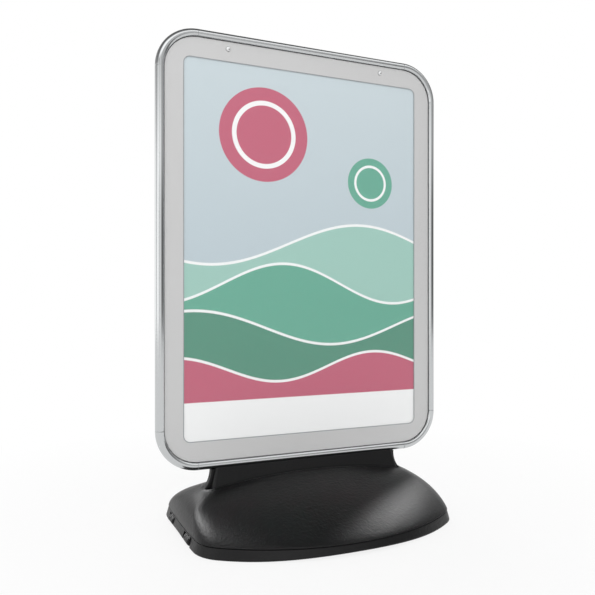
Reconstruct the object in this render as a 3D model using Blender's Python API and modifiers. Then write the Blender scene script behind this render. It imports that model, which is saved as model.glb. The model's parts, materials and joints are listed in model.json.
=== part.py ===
"""Forecourt poster sign: a double-sided A1 panel in a rounded aluminium rim, on a wheeled ballast base.

Frame: +Z up, metres, origin on the ground under the middle of the panel. The panel stands in the XZ plane,
its front faces -Y, and the transport wheels are at the -X end of the base.
"""

import math
from collections import namedtuple

import bmesh
import bpy
from mathutils import Matrix, Vector

# Clearances
FIT_GAP = 0.0003
HOLE_GAP = 0.0005
MERGE_DISTANCE = 1e-6

# Panel rim, outside sizes
PANEL_WIDTH = 0.694
PANEL_HEIGHT = 0.946
PANEL_RAISE = 0.131
CORNER_RADIUS = 0.090

# Rim section: a rounded nose outside, flat cheeks and a slot for the panel inside
RIM_FACE = 0.0175
RIM_DEPTH = 0.026
RIM_NOSE = 0.010
RIM_LIP = 0.003
RIM_WEB = 0.004
PANEL_BITE = 0.0085
TONGUE_LENGTH = 0.040
TONGUE_ROOT = 0.006

# Panel layers, from the middle outwards
CORE_THICKNESS = 0.006
STEEL_THICKNESS = 0.0008
POSTER_THICKNESS = 0.0003
MAGNET_THICKNESS = 0.0012
BORDER_THICKNESS = 0.0004
COVER_THICKNESS = 0.0010

# Window and cover: border and rim beside the window, and how far it laps over the A1 poster
WINDOW_SIDE = 0.060
WINDOW_END = 0.0625
WINDOW_RADIUS = 0.014
POSTER_LAP = 0.010
COVER_MARGIN = 0.001
MAGNET_WIDTH = 0.020
MAGNET_EDGE = 0.004

# Locating studs at the top of each face
STUD_EDGE = 0.157
STUD_DROP = 0.0171
STUD_DIAMETER = 0.0095
STUD_DOME = 0.0022
STUD_PROUD = 0.0032
SHANK_DIAMETER = 0.004

# Base plan: bowed long sides, nearly straight ends, rounded corners
BASE_LENGTH = 0.600
BASE_DEPTH = 0.526
SIDE_BOW = 0.070
END_BOW = 0.003
BASE_CORNER = 0.080

# Base tray: skirt, four corner feet and the arches between them
SKIRT_HEIGHT = 0.022
SKIRT_LEAN = 0.005
EDGE_ROUND = 0.003
SEAM_DEPTH = 0.0025
SEAM_SLOPE = 0.002
FOOT_WIDTH = 0.040
FOOT_CORNER = 0.034
FOOT_SLOPE = 0.014
UNDERSIDE_RAISE = 0.014
SIDE_ARCH = 0.007
SIDE_ARCH_SPAN = 0.500
END_ARCH = 0.005
END_ARCH_SPAN = 0.220
WALL = 0.004

# Base shell: dome, crest bead and upstand
CREST_LENGTH = 0.500
CREST_DEPTH = 0.070
CREST_BOW = 0.006
CREST_END_BOW = 0.003
CREST_CORNER = 0.024
CREST_HEIGHT = 0.113
CREST_DROP = 0.025
DOME_POWER = 1.1
DOME_SHOULDER = 1.2
END_FULLNESS = 2.2
CAVITY_REACH = 0.85
BEAD_WIDTH = 0.008
BEAD_FLANK = 0.0024
BEAD_RISE = 0.0015
BEAD_CREASE = 0.002
UPSTAND_LENGTH = 0.438
UPSTAND_FLARE = 0.010
UPSTAND_DEPTH = 0.030
UPSTAND_FOOT_DEPTH = 0.048
UPSTAND_CORNER = 0.005
UPSTAND_BOW = 0.0003
SEAT_DEPTH = 0.004
WEB_LENGTH = 0.456
WEB_FLARE = 0.036
WEB_FLARE_HEIGHT = 0.050
WEB_ROOT = 0.014
WEB_THICKNESS = 0.016
END_SLOT_WIDTH = 0.003
END_SLOT_DEPTH = 0.005
END_SLOT_HEIGHT = 0.022

# Panel fixing: two bolts from below into a bar in the bottom rail
BOLT_SPREAD = 0.240
BOLT_DIAMETER = 0.008
BOLT_HEAD_FLATS = 0.013
BOLT_HEAD_HEIGHT = 0.0053
WASHER_DIAMETER = 0.022
WASHER_THICKNESS = 0.0016
POCKET_DIAMETER = 0.028
POCKET_TOP = 0.036
COLUMN_DIAMETER = 0.042
ANCHOR_LENGTH = 0.320

# Filler on the rear slope
FILLER_X = 0.130
FILLER_EDGE = 0.113
NECK_DIAMETER = 0.042
MOUTH_DIAMETER = 0.032
NECK_HEIGHT = 0.011
NECK_ROOT = 0.012
CAP_WALL = 0.004
CAP_SKIRT = 0.009
CAP_TOP = 0.0035
CAP_GRIPS = 20
GRIP_STEPS = 4
GRIP_DEPTH = 0.0012
GASKET_THICKNESS = 0.002

# Transport wheels at the -X end
WHEEL_DIAMETER = 0.018
WHEEL_WIDTH = 0.033
WHEEL_SPREAD = 0.136
WHEEL_PROUD = 0.0005
WHEEL_LIFT = 0.0005
WHEEL_GAP = 0.0015
WHEEL_SIDE_GAP = 0.010
TYRE_ROUND = 0.003
HUB_DISH = 0.002
AXLE_DIAMETER = 0.004
AXLE_SEAT = 0.006
WHEEL_BLOCK = 0.048

# Facets
ARC_STEPS = 6
SIDE_STEPS = 16
BEND_STEPS = 10
ROUND_STEPS = 28
SMALL_STEPS = 16
EDGE_STEPS = 3
DOME_STATIONS = (0.0, 0.02, 0.06, 0.13, 0.25, 0.42, 0.62, 0.82, 1.0)
SMOOTH_ANGLE = math.radians(32)

Plan = namedtuple("Plan", "half_length half_depth side_bow end_bow corner")

X_AXIS = Vector((1, 0, 0))
Y_AXIS = Vector((0, 1, 0))
Z_AXIS = Vector((0, 0, 1))
FRONT = -1
REAR = 1

# Heights and places that follow from the sizes above
PANEL_MIDDLE = PANEL_RAISE + PANEL_HEIGHT / 2
WINDOW_WIDTH = PANEL_WIDTH - 2 * WINDOW_SIDE
WINDOW_HEIGHT = PANEL_HEIGHT - 2 * WINDOW_END
POSTER_WIDTH = WINDOW_WIDTH + 2 * POSTER_LAP
POSTER_HEIGHT = WINDOW_HEIGHT + 2 * POSTER_LAP
CORE_EDGE = RIM_FACE - PANEL_BITE
STEEL_FACE = CORE_THICKNESS / 2 + FIT_GAP + STEEL_THICKNESS
LAYER_START = STEEL_FACE + FIT_GAP
BORDER_START = LAYER_START + MAGNET_THICKNESS + FIT_GAP
COVER_START = BORDER_START + BORDER_THICKNESS + FIT_GAP
COVER_FACE = COVER_START + COVER_THICKNESS
COVER_EDGE = RIM_FACE + COVER_MARGIN
STUD_X = PANEL_WIDTH / 2 - STUD_EDGE
STUD_HEIGHT = PANEL_RAISE + PANEL_HEIGHT - RIM_FACE - STUD_DROP
SHELL_START = SKIRT_HEIGHT + FIT_GAP
DOME_START = SHELL_START + SEAM_SLOPE
WHEEL_RADIUS = WHEEL_DIAMETER / 2
WHEEL_X = -(BASE_LENGTH / 2 + WHEEL_PROUD - WHEEL_RADIUS)
WHEEL_Z = WHEEL_LIFT + WHEEL_RADIUS
FILLER_Y = BASE_DEPTH / 2 - FILLER_EDGE
CAP_START = NECK_HEIGHT + GASKET_THICKNESS + 2 * FIT_GAP - CAP_SKIRT


# Scene, materials and objects

def clear_scene():
    """Remove every object that the file opened with."""
    for old in list(bpy.data.objects):
        bpy.data.objects.remove(old, do_unlink=True)


def new_collection(name):
    """Make a collection under the scene."""
    made = bpy.data.collections.new(name)
    bpy.context.scene.collection.children.link(made)
    return made


def make_material(name, colour, roughness, metallic=0.0, alpha=1.0):
    """Make a Principled material."""
    made = bpy.data.materials.new(name)
    made.use_nodes = True
    shader = made.node_tree.nodes["Principled BSDF"]
    shader.inputs["Base Color"].default_value = (*colour, 1.0)
    shader.inputs["Roughness"].default_value = roughness
    shader.inputs["Metallic"].default_value = metallic
    shader.inputs["Alpha"].default_value = alpha
    made.diffuse_color = (*colour, alpha)
    return made


def place(name, mesh, group, material=None):
    """Put a mesh in a collection as a named object."""
    made = bpy.data.objects.new(name, mesh)
    group.objects.link(made)
    if material and not mesh.materials:
        mesh.materials.append(material)
    return made


def smooth(mesh):
    """Shade smooth, with edges kept crisp."""
    mesh.shade_smooth()
    mesh.set_sharp_from_angle(angle=SMOOTH_ANGLE)


def mesh_from(name, bm):
    """Close a bmesh into a mesh with its faces pointing out."""
    bmesh.ops.remove_doubles(bm, verts=bm.verts, dist=MERGE_DISTANCE)
    bmesh.ops.recalc_face_normals(bm, faces=bm.faces)
    mesh = bpy.data.meshes.new(name)
    bm.to_mesh(mesh)
    bm.free()
    smooth(mesh)
    return mesh


def as_cutter(obj):
    """Mark an object as a tool of a Boolean."""
    obj.hide_render = True
    obj.display_type = "WIRE"
    return obj


def boolean(obj, tool, operation):
    """Add a Boolean modifier that stays on the object."""
    step = obj.modifiers.new(f"{operation.lower()}_{tool.name}", "BOOLEAN")
    step.operation = operation
    step.object = tool
    step.solver = "EXACT"


# Outlines

def arc(centre, radius, start, end, steps):
    """Points on a circular arc, both ends included."""
    turn = (end - start) / steps
    return [(centre[0] + radius * math.cos(start + turn * i), centre[1] + radius * math.sin(start + turn * i))
            for i in range(steps + 1)]


def rectangle(width, height, x=0, y=0):
    """A rectangle's corners, about a place."""
    return [(x + sx * width / 2, y + sy * height / 2) for sx, sy in ((1, 1), (-1, 1), (-1, -1), (1, -1))]


def round_rectangle(width, height, radius):
    """A rectangle with four arcs for corners, about the origin."""
    x = width / 2 - radius
    y = height / 2 - radius
    points = []
    for quarter, (sx, sy) in enumerate(((1, 1), (-1, 1), (-1, -1), (1, -1))):
        start = quarter * math.pi / 2
        points += arc((sx * x, sy * y), radius, start, start + math.pi / 2, ARC_STEPS)
    return points


def circle(x, y, diameter, steps=SMALL_STEPS):
    """A circle's points."""
    return arc((x, y), diameter / 2, 0, 2 * math.pi, steps)[:-1]


def side_radius(plan):
    """The radius of the arc that a plan's long side follows, before its corner radius is added."""
    reach = plan.half_length - plan.corner - plan.end_bow
    return (reach ** 2 + plan.side_bow ** 2) / (2 * plan.side_bow)


def side_depth(plan, x):
    """How far a plan's long side stands from the middle, at a place along it."""
    radius = side_radius(plan)
    return plan.half_depth - plan.corner - radius + math.sqrt((radius + plan.corner) ** 2 - x ** 2)


def bowed_outline(plan):
    """A rectangle whose four sides are arcs, offset outwards by its corner radius."""
    core_x = plan.half_length - plan.corner
    core_y = plan.half_depth - plan.corner
    end_x = core_x - plan.end_bow
    end_y = core_y - plan.side_bow
    long_radius = side_radius(plan)
    end_radius = (end_y ** 2 + plan.end_bow ** 2) / (2 * plan.end_bow)
    side_angle = math.asin(end_x / long_radius)
    end_angle = math.asin(end_y / end_radius)
    upright = math.pi / 2
    half = arc((core_x - end_radius, 0), end_radius + plan.corner, -end_angle, end_angle, ARC_STEPS)
    half += arc((end_x, end_y), plan.corner, end_angle, upright - side_angle, ARC_STEPS)[1:-1]
    half += arc((0, core_y - long_radius), long_radius + plan.corner,
                upright - side_angle, upright + side_angle, SIDE_STEPS)
    half += arc((-end_x, end_y), plan.corner, upright + side_angle, math.pi - end_angle, ARC_STEPS)[1:-1]
    return half + [(-x, -y) for x, y in half]


def inset(plan, distance):
    """The same plan, smaller all round."""
    return plan._replace(half_length=plan.half_length - distance, half_depth=plan.half_depth - distance,
                         corner=plan.corner - distance)


def mix_plans(first, second, share):
    """A plan part of the way from one to another."""
    return Plan(*(a + (b - a) * share for a, b in zip(first, second)))


# Ways to make a solid

def curve_solid(name, outlines, half_thickness, matrix, group, material=None):
    """A flat outline, with any holes as further outlines, given a thickness and placed."""
    data = bpy.data.curves.new(name, "CURVE")
    data.dimensions = "2D"
    data.fill_mode = "BOTH"
    data.extrude = half_thickness
    for points in outlines:
        spline = data.splines.new("POLY")
        spline.points.add(len(points) - 1)
        for point, (x, y) in zip(spline.points, points):
            point.co = (x, y, 0, 1)
        spline.use_cyclic_u = True
    flat = bpy.data.objects.new(name + "_outline", data)
    group.objects.link(flat)
    bpy.context.view_layer.update()
    loose = bpy.data.meshes.new_from_object(flat.evaluated_get(bpy.context.evaluated_depsgraph_get()))
    bpy.data.objects.remove(flat, do_unlink=True)
    bm = bmesh.new()
    bm.from_mesh(loose)
    bpy.data.meshes.remove(loose)
    made = place(name, mesh_from(name, bm), group, material)
    made.matrix_world = matrix
    return made


def upright(y, z=PANEL_MIDDLE):
    """Stand a flat outline in the panel's plane, at a distance y from the middle."""
    return Matrix.Translation((0, y, z)) @ Matrix.Rotation(math.pi / 2, 4, "X")


def axes(location, x_axis, y_axis):
    """A placement from two of its axes."""
    z_axis = x_axis.cross(y_axis)
    turn = Matrix((x_axis, y_axis, z_axis)).transposed().to_4x4()
    return Matrix.Translation(location) @ turn


def loft(name, rings, group, material=None):
    """Skin a stack of rings that have the same number of points with triangles, and cap both flat ends."""
    bm = bmesh.new()
    rows = [[bm.verts.new(point) for point in ring] for ring in rings]
    count = len(rings[0])
    for low, high in zip(rows, rows[1:]):
        for i in range(count):
            j = (i + 1) % count
            bm.faces.new((low[i], low[j], high[j], high[i]))
    bmesh.ops.triangulate(bm, faces=bm.faces)
    bm.faces.new(rows[0])
    bm.faces.new(rows[-1])
    return place(name, mesh_from(name, bm), group, material)


def turned(name, profile, steps, matrix, group, material=None):
    """Turn a profile of (radius, height) points, closed on itself or on the axis, about Z."""
    mesh = bpy.data.meshes.new(name)
    edges = [(i, i + 1) for i in range(len(profile) - 1)]
    if profile[0][0] > 0:
        edges.append((len(profile) - 1, 0))
    mesh.from_pydata([(radius, 0, height) for radius, height in profile], edges, [])
    made = place(name, mesh, group, material)
    made.matrix_world = matrix
    spin = made.modifiers.new("turn", "SCREW")
    spin.steps = steps
    spin.render_steps = steps
    spin.use_merge_vertices = True
    spin.merge_threshold = MERGE_DISTANCE
    return made


def rod(name, diameter, low, high, group, sides=SMALL_STEPS):
    """A cylinder between two points."""
    span = high - low
    bm = bmesh.new()
    bmesh.ops.create_cone(bm, cap_ends=True, segments=sides, radius1=diameter / 2, radius2=diameter / 2,
                          depth=span.length)
    made = place(name, mesh_from(name, bm), group)
    made.matrix_world = (Matrix.Translation((low + high) / 2)
                         @ Z_AXIS.rotation_difference(span).to_matrix().to_4x4())
    return made


def block(name, low, high, group):
    """A box between two corners."""
    bm = bmesh.new()
    bmesh.ops.create_cube(bm, size=1)
    bmesh.ops.scale(bm, vec=high - low, verts=bm.verts)
    bmesh.ops.translate(bm, vec=(low + high) / 2, verts=bm.verts)
    return place(name, mesh_from(name, bm), group)


# Panel rim

def rim_section(slot_floor):
    """The rim's section: x runs inwards from the outer edge, y across the panel."""
    half = RIM_DEPTH / 2
    slot = STEEL_FACE + FIT_GAP
    nose = [(RIM_NOSE * (1 + math.cos(angle)), half * math.sin(angle))
            for angle in (math.pi / 2 + math.pi * i / (2 * ARC_STEPS) for i in range(2 * ARC_STEPS + 1))]
    lip_low = arc((RIM_FACE - RIM_LIP, RIM_LIP - half), RIM_LIP, -math.pi / 2, 0, EDGE_STEPS)
    lip_high = [(x, -y) for x, y in reversed(lip_low)]
    throat = [(RIM_FACE, -slot), (slot_floor, -slot), (slot_floor, slot), (RIM_FACE, slot)]
    return nose + lip_low + throat + lip_high


def make_rails(group, tools, material):
    """Four straight rails, and the bolt holes in the bottom one."""
    half_x = PANEL_WIDTH / 2
    half_z = PANEL_HEIGHT / 2
    reach_x = half_x - CORNER_RADIUS - FIT_GAP / 2
    reach_z = half_z - CORNER_RADIUS - FIT_GAP / 2
    section = [rim_section(RIM_WEB)]
    sides = (("top_rail", Vector((0, 0, half_z)), -Z_AXIS, reach_x),
             ("bottom_rail", Vector((0, 0, -half_z)), Z_AXIS, reach_x),
             ("left_rail", Vector((-half_x, 0, 0)), X_AXIS, reach_z),
             ("right_rail", Vector((half_x, 0, 0)), -X_AXIS, reach_z))
    made = {}
    for name, edge, inward, reach in sides:
        matrix = axes(edge + PANEL_MIDDLE * Z_AXIS, inward, Y_AXIS)
        made[name] = curve_solid(name, section, reach, matrix, group, material)
    for tool in bolt_holes("rail_hole", PANEL_RAISE - RIM_NOSE, PANEL_RAISE + RIM_FACE, tools):
        boolean(made["bottom_rail"], tool, "DIFFERENCE")


def make_corners(group, tools, material):
    """Four cast corners: the rim's section swept through a quarter turn, with a tongue for each rail."""
    bm = bmesh.new()
    section = rim_section(CORE_EDGE - FIT_GAP)
    ring = [bm.verts.new((CORNER_RADIUS - x, y, 0)) for x, y in section]
    face = bm.faces.new(ring)
    bmesh.ops.spin(bm, geom=[face, *face.edges, *face.verts], cent=(0, 0, 0), axis=(0, -1, 0),
                   angle=math.pi / 2, steps=BEND_STEPS, use_duplicate=False)
    bend = place("corner_bend", mesh_from("corner_bend", bm), tools)
    half = STEEL_FACE
    outer = CORNER_RADIUS - RIM_WEB - FIT_GAP
    inner = CORNER_RADIUS - CORE_EDGE + FIT_GAP
    low = Vector((inner, -half, -TONGUE_LENGTH))
    high = Vector((outer, half, TONGUE_ROOT))
    for tag, swap in (("side", False), ("end", True)):
        first, last = (low.zyx, high.zyx) if swap else (low, high)
        boolean(bend, as_cutter(block(f"tongue_{tag}", first, last, tools)), "UNION")
    bpy.context.view_layer.update()
    mesh = bpy.data.meshes.new_from_object(bend.evaluated_get(bpy.context.evaluated_depsgraph_get()))
    bpy.data.objects.remove(bend, do_unlink=True)
    smooth(mesh)
    x = PANEL_WIDTH / 2 - CORNER_RADIUS
    z = PANEL_HEIGHT / 2 - CORNER_RADIUS
    quarters = (("top_right_corner", x, z), ("top_left_corner", -x, z),
                ("bottom_left_corner", -x, -z), ("bottom_right_corner", x, -z))
    for turn, (name, at_x, at_z) in enumerate(quarters):
        corner = place(name, mesh, group, material)
        corner.matrix_world = (Matrix.Translation((at_x, 0, PANEL_MIDDLE + at_z))
                               @ Matrix.Rotation(-turn * math.pi / 2, 4, "Y"))


def make_anchor_bar(group, material):
    """The drilled bar that lies in the bottom rail's slot and takes both bolts."""
    low = PANEL_RAISE + RIM_WEB + FIT_GAP
    high = PANEL_RAISE + CORE_EDGE - FIT_GAP
    outline = rectangle(ANCHOR_LENGTH, 2 * STEEL_FACE)
    holes = [circle(side * BOLT_SPREAD / 2, 0, BOLT_DIAMETER + 2 * FIT_GAP) for side in (-1, 1)]
    matrix = Matrix.Translation((0, 0, (low + high) / 2))
    curve_solid("anchor_bar", [outline, *holes], (high - low) / 2, matrix, group, material)


# Panel and covers

def edge_rectangle(edge):
    """The rim's outline, moved inwards by a distance."""
    return round_rectangle(PANEL_WIDTH - 2 * edge, PANEL_HEIGHT - 2 * edge, CORNER_RADIUS - edge)


def stud_circles(diameter):
    """A hole for each stud, about the panel's middle."""
    return [circle(side * STUD_X, STUD_HEIGHT - PANEL_MIDDLE, diameter) for side in (-1, 1)]


def make_panel(group, board, steel, paper):
    """Core board, steel sheets and the poster sheets on both faces."""
    shank_holes = stud_circles(SHANK_DIAMETER + 2 * HOLE_GAP)
    outline = edge_rectangle(CORE_EDGE)
    curve_solid("core_board", [outline], CORE_THICKNESS / 2, upright(0), group, board)
    steel_middle = CORE_THICKNESS / 2 + FIT_GAP + STEEL_THICKNESS / 2
    poster = rectangle(POSTER_WIDTH, POSTER_HEIGHT)
    for label, side in (("front", FRONT), ("rear", REAR)):
        curve_solid(f"{label}_steel_sheet", [outline, *shank_holes], STEEL_THICKNESS / 2,
                    upright(side * steel_middle), group, steel)
        curve_solid(f"{label}_poster", [poster], POSTER_THICKNESS / 2,
                    upright(side * (LAYER_START + POSTER_THICKNESS / 2)), group, paper)


def make_covers(group, clear, silver, magnet):
    """For each face: clear sheet, printed border behind it and four magnet strips behind that."""
    outline = edge_rectangle(COVER_EDGE)
    holes = stud_circles(STUD_DIAMETER + 2 * HOLE_GAP)
    window = round_rectangle(WINDOW_WIDTH, WINDOW_HEIGHT, WINDOW_RADIUS)
    for label, side in (("front", FRONT), ("rear", REAR)):
        curve_solid(f"{label}_cover_sheet", [outline, *holes], COVER_THICKNESS / 2,
                    upright(side * (COVER_START + COVER_THICKNESS / 2)), group, clear)
        curve_solid(f"{label}_cover_border", [outline, window, *holes], BORDER_THICKNESS / 2,
                    upright(side * (BORDER_START + BORDER_THICKNESS / 2)), group, silver)
        make_magnets(label, side, group, magnet)


def make_magnets(label, side, group, magnet):
    """Magnet strips along the four edges of one cover, clear of the poster, the studs and each other."""
    bend = CORNER_RADIUS - COVER_EDGE
    half_x = PANEL_WIDTH / 2 - COVER_EDGE
    half_z = PANEL_HEIGHT / 2 - COVER_EDGE
    centre_x = half_x - MAGNET_EDGE - MAGNET_WIDTH / 2
    centre_z = half_z - MAGNET_EDGE - MAGNET_WIDTH / 2
    stud_z = STUD_HEIGHT - PANEL_MIDDLE
    middle = upright(side * (LAYER_START + MAGNET_THICKNESS / 2))
    holes = stud_circles(STUD_DIAMETER + 2 * HOLE_GAP)
    wide = 2 * (half_x - bend)
    tall = 2 * (half_z - bend)
    strips = (("top", 0, stud_z, wide, MAGNET_WIDTH, holes), ("bottom", 0, -centre_z, wide, MAGNET_WIDTH, []),
              ("left", -centre_x, 0, MAGNET_WIDTH, tall, []), ("right", centre_x, 0, MAGNET_WIDTH, tall, []))
    for name, x, z, width, height, cuts in strips:
        curve_solid(f"{label}_magnet_{name}", [rectangle(width, height, x, z), *cuts], MAGNET_THICKNESS / 2,
                    middle, group, magnet)


def make_studs(group, material):
    """A domed locating stud for each cover hole, with a shank through the steel sheet."""
    radius = STUD_DIAMETER / 2
    shank = SHANK_DIAMETER / 2
    dome_start = COVER_FACE + STUD_PROUD - STUD_DOME
    dome = [(radius * math.cos(angle), dome_start + STUD_DOME * math.sin(angle))
            for angle in (math.pi / 2 * (1 - i / EDGE_STEPS) for i in range(EDGE_STEPS + 1))]
    dome[0] = (0, dome_start + STUD_DOME)
    root = LAYER_START - FIT_GAP - STEEL_THICKNESS
    profile = dome + [(radius, LAYER_START), (shank, LAYER_START), (shank, root), (0, root)]
    for label, side in (("front", FRONT), ("rear", REAR)):
        for hand, sign in (("left", -1), ("right", 1)):
            place_at = Matrix.Translation((sign * STUD_X, 0, STUD_HEIGHT))
            turn = Matrix.Rotation(-side * math.pi / 2, 4, "X")
            turned(f"{label}_{hand}_stud", profile, SMALL_STEPS, place_at @ turn, group, material)


# Base

BASE_PLAN = Plan(BASE_LENGTH / 2, BASE_DEPTH / 2, SIDE_BOW, END_BOW, BASE_CORNER)
DOME_PLAN = inset(BASE_PLAN, SKIRT_LEAN)
CREST_PLAN = Plan(CREST_LENGTH / 2, CREST_DEPTH / 2, CREST_BOW, CREST_END_BOW, CREST_CORNER)


def arch_height(x, y):
    """How far the lower edge rises between the feet, as a cosine bump along each side and end."""
    def bump(share):
        return (1 + math.cos(math.pi * share)) / 2 if abs(share) < 1 else 0
    return SIDE_ARCH * bump(2 * x / SIDE_ARCH_SPAN) + END_ARCH * bump(2 * y / END_ARCH_SPAN)


def level_ring(plan, height):
    """A plan's points at one height."""
    return [(x, y, height) for x, y in bowed_outline(plan)]


def arched_ring(plan, height):
    """A plan's points, lifted by the arches between the feet."""
    outer = bowed_outline(BASE_PLAN)
    return [(x, y, height + arch_height(ox, oy)) for (x, y), (ox, oy) in zip(bowed_outline(plan), outer)]


def crest_height(x):
    """The dome's top edge, highest in the middle of its length."""
    return CREST_HEIGHT - CREST_DROP * x * x


def dome_rise(share):
    """Rise of the dome from its edge, 0, to its crest, 1: a slope with a rounded shoulder."""
    return (1 - (1 - share) ** DOME_POWER) ** (1 / DOME_SHOULDER)


def dome_plan(edge, share):
    """A plan between an edge and the crest, whose ends draw in later than its sides do."""
    reach = edge.half_length + (CREST_PLAN.half_length - edge.half_length) * share ** END_FULLNESS
    return mix_plans(edge, CREST_PLAN, share)._replace(half_length=reach)


def dome_ring(share):
    """One ring of the dome, its plan and height both between the edge and the crest."""
    plan = dome_plan(DOME_PLAN, share)
    rise = dome_rise(share)
    return [(x, y, DOME_START + (crest_height(x / plan.half_length) - DOME_START) * rise)
            for x, y in bowed_outline(plan)]


def dome_height(x, y):
    """The dome's height at a place on one of its long slopes, found by halving between edge and crest."""
    low = 0.0
    high = 1.0
    while high - low > MERGE_DISTANCE:
        share = (low + high) / 2
        plan = dome_plan(DOME_PLAN, share)
        if side_depth(plan, x) > abs(y):
            low = share
        else:
            high = share
    return DOME_START + (crest_height(x / plan.half_length) - DOME_START) * dome_rise(share)


def filler_frame():
    """The filler's place on the rear slope, its Z axis square to the dome."""
    step = NECK_DIAMETER / 2
    slope_x = dome_height(FILLER_X + step, FILLER_Y) - dome_height(FILLER_X - step, FILLER_Y)
    slope_y = dome_height(FILLER_X, FILLER_Y + step) - dome_height(FILLER_X, FILLER_Y - step)
    normal = Vector((-slope_x, -slope_y, NECK_DIAMETER))
    place_at = Matrix.Translation((FILLER_X, FILLER_Y, dome_height(FILLER_X, FILLER_Y)))
    return place_at @ Z_AXIS.rotation_difference(normal).to_matrix().to_4x4()


def filler_rod(name, diameter, low, high, tools):
    """A cylinder on the filler's axis, between two heights above the dome."""
    frame = filler_frame()
    return rod(name, diameter, frame @ (low * Z_AXIS), frame @ (high * Z_AXIS), tools, ROUND_STEPS)


def crest_ring(plan, lift):
    """A ring that follows the crest's curve."""
    return [(x, y, crest_height(x / CREST_PLAN.half_length) + lift) for x, y in bowed_outline(plan)]


def cavity_ring(share, wall):
    """One ring of the hollow, a wall's thickness inside the dome and level all round."""
    plan = dome_plan(inset(DOME_PLAN, SEAM_DEPTH + wall), share)
    top = CREST_HEIGHT - CREST_DROP - wall
    start = DOME_START - wall
    return level_ring(plan, start + (top - start) * dome_rise(share))


def bolt_places():
    """Where the two bolts stand."""
    return [Vector((side * BOLT_SPREAD / 2, 0, 0)) for side in (-1, 1)]


def bolt_holes(name, low, high, tools):
    """Clearance holes for both bolts between two heights."""
    diameter = BOLT_DIAMETER + 2 * HOLE_GAP
    return [as_cutter(rod(f"{name}_{i}", diameter, at + low * Z_AXIS, at + high * Z_AXIS, tools))
            for i, at in enumerate(bolt_places())]


def bolt_pockets(tools):
    """Pockets from the underside that take the bolt heads."""
    return [as_cutter(rod(f"bolt_pocket_{i}", POCKET_DIAMETER, at, at + POCKET_TOP * Z_AXIS, tools))
            for i, at in enumerate(bolt_places())]


def keep_solid(hollow, tools):
    """Leave a column round each bolt and a block round the wheels out of a hollow."""
    for i, at in enumerate(bolt_places()):
        column = rod(f"{hollow.name}_column_{i}", COLUMN_DIAMETER, at, at + CREST_HEIGHT * Z_AXIS, tools)
        boolean(hollow, as_cutter(column), "DIFFERENCE")
    low = Vector((-BASE_LENGTH, -BASE_DEPTH, 0))
    high = Vector((-BASE_LENGTH / 2 + WHEEL_BLOCK, BASE_DEPTH, CREST_HEIGHT))
    boolean(hollow, as_cutter(block(f"{hollow.name}_wheel_block", low, high, tools)), "DIFFERENCE")
    return as_cutter(hollow)


def wheel_places():
    """The middle of each wheel."""
    return [("front", Vector((WHEEL_X, -WHEEL_SPREAD / 2, WHEEL_Z))),
            ("rear", Vector((WHEEL_X, WHEEL_SPREAD / 2, WHEEL_Z)))]


def wheel_recesses(tools):
    """Arched recesses, open to the end of the base and downwards."""
    radius = WHEEL_RADIUS + WHEEL_GAP
    outline = [(-WHEEL_DIAMETER, -WHEEL_DIAMETER), (radius, -WHEEL_DIAMETER)]
    outline += arc((0, 0), radius, 0, math.pi, ROUND_STEPS // 2) + [(-WHEEL_DIAMETER, 0)]
    half = WHEEL_WIDTH / 2 + WHEEL_SIDE_GAP
    turn = Matrix.Rotation(math.pi / 2, 4, "X")
    made = []
    for name, at in wheel_places():
        recess = curve_solid(f"{name}_wheel_recess", [outline], half, Matrix.Translation(at) @ turn, tools)
        made.append(as_cutter(recess))
    return made


def axle_span():
    """Half the length of an axle hole."""
    return (WHEEL_WIDTH / 2 + WHEEL_SIDE_GAP + AXLE_SEAT) * Y_AXIS


def make_tray(group, tools, recesses, material):
    """The lower moulding: skirt, corner feet, arched edges and an open, shallow tray inside."""
    foot_inner = inset(BASE_PLAN, FOOT_WIDTH)._replace(corner=FOOT_CORNER)
    seam = inset(DOME_PLAN, SEAM_DEPTH)
    rings = [level_ring(inset(foot_inner, FOOT_SLOPE), UNDERSIDE_RAISE),
             arched_ring(foot_inner, 0),
             arched_ring(inset(BASE_PLAN, EDGE_ROUND), 0),
             arched_ring(BASE_PLAN, EDGE_ROUND),
             level_ring(DOME_PLAN, SKIRT_HEIGHT - SEAM_SLOPE),
             level_ring(seam, SKIRT_HEIGHT)]
    tray = loft("base_tray", rings, group, material)
    hollow_plan = inset(seam, WALL)
    hollow = loft("tray_hollow", [level_ring(hollow_plan, UNDERSIDE_RAISE + WALL),
                                  level_ring(hollow_plan, SKIRT_HEIGHT + WALL)], tools)
    boolean(tray, keep_solid(hollow, tools), "DIFFERENCE")
    for tool in recesses:
        boolean(tray, tool, "DIFFERENCE")
    bore = AXLE_DIAMETER + 2 * FIT_GAP
    for name, at in wheel_places():
        hole = rod(f"{name}_axle_hole", bore, at - axle_span(), at + axle_span(), tools)
        boolean(tray, as_cutter(hole), "DIFFERENCE")


def shell_rings():
    """The upper moulding's outside, from the seam over the dome and bead to the top of the upstand."""
    top = Plan(UPSTAND_LENGTH / 2, UPSTAND_DEPTH / 2, UPSTAND_BOW, UPSTAND_BOW, UPSTAND_CORNER)
    foot = top._replace(half_length=UPSTAND_LENGTH / 2 + UPSTAND_FLARE, half_depth=UPSTAND_FOOT_DEPTH / 2)
    rings = [level_ring(inset(DOME_PLAN, SEAM_DEPTH), SHELL_START)]
    rings += [dome_ring(share) for share in DOME_STATIONS]
    rings += [crest_ring(inset(CREST_PLAN, BEAD_FLANK), BEAD_RISE),
              crest_ring(inset(CREST_PLAN, BEAD_WIDTH - BEAD_FLANK), BEAD_RISE),
              crest_ring(inset(CREST_PLAN, BEAD_WIDTH), -BEAD_CREASE),
              crest_ring(foot, -BEAD_CREASE),
              level_ring(top, PANEL_RAISE + SEAT_DEPTH)]
    return rings


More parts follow.
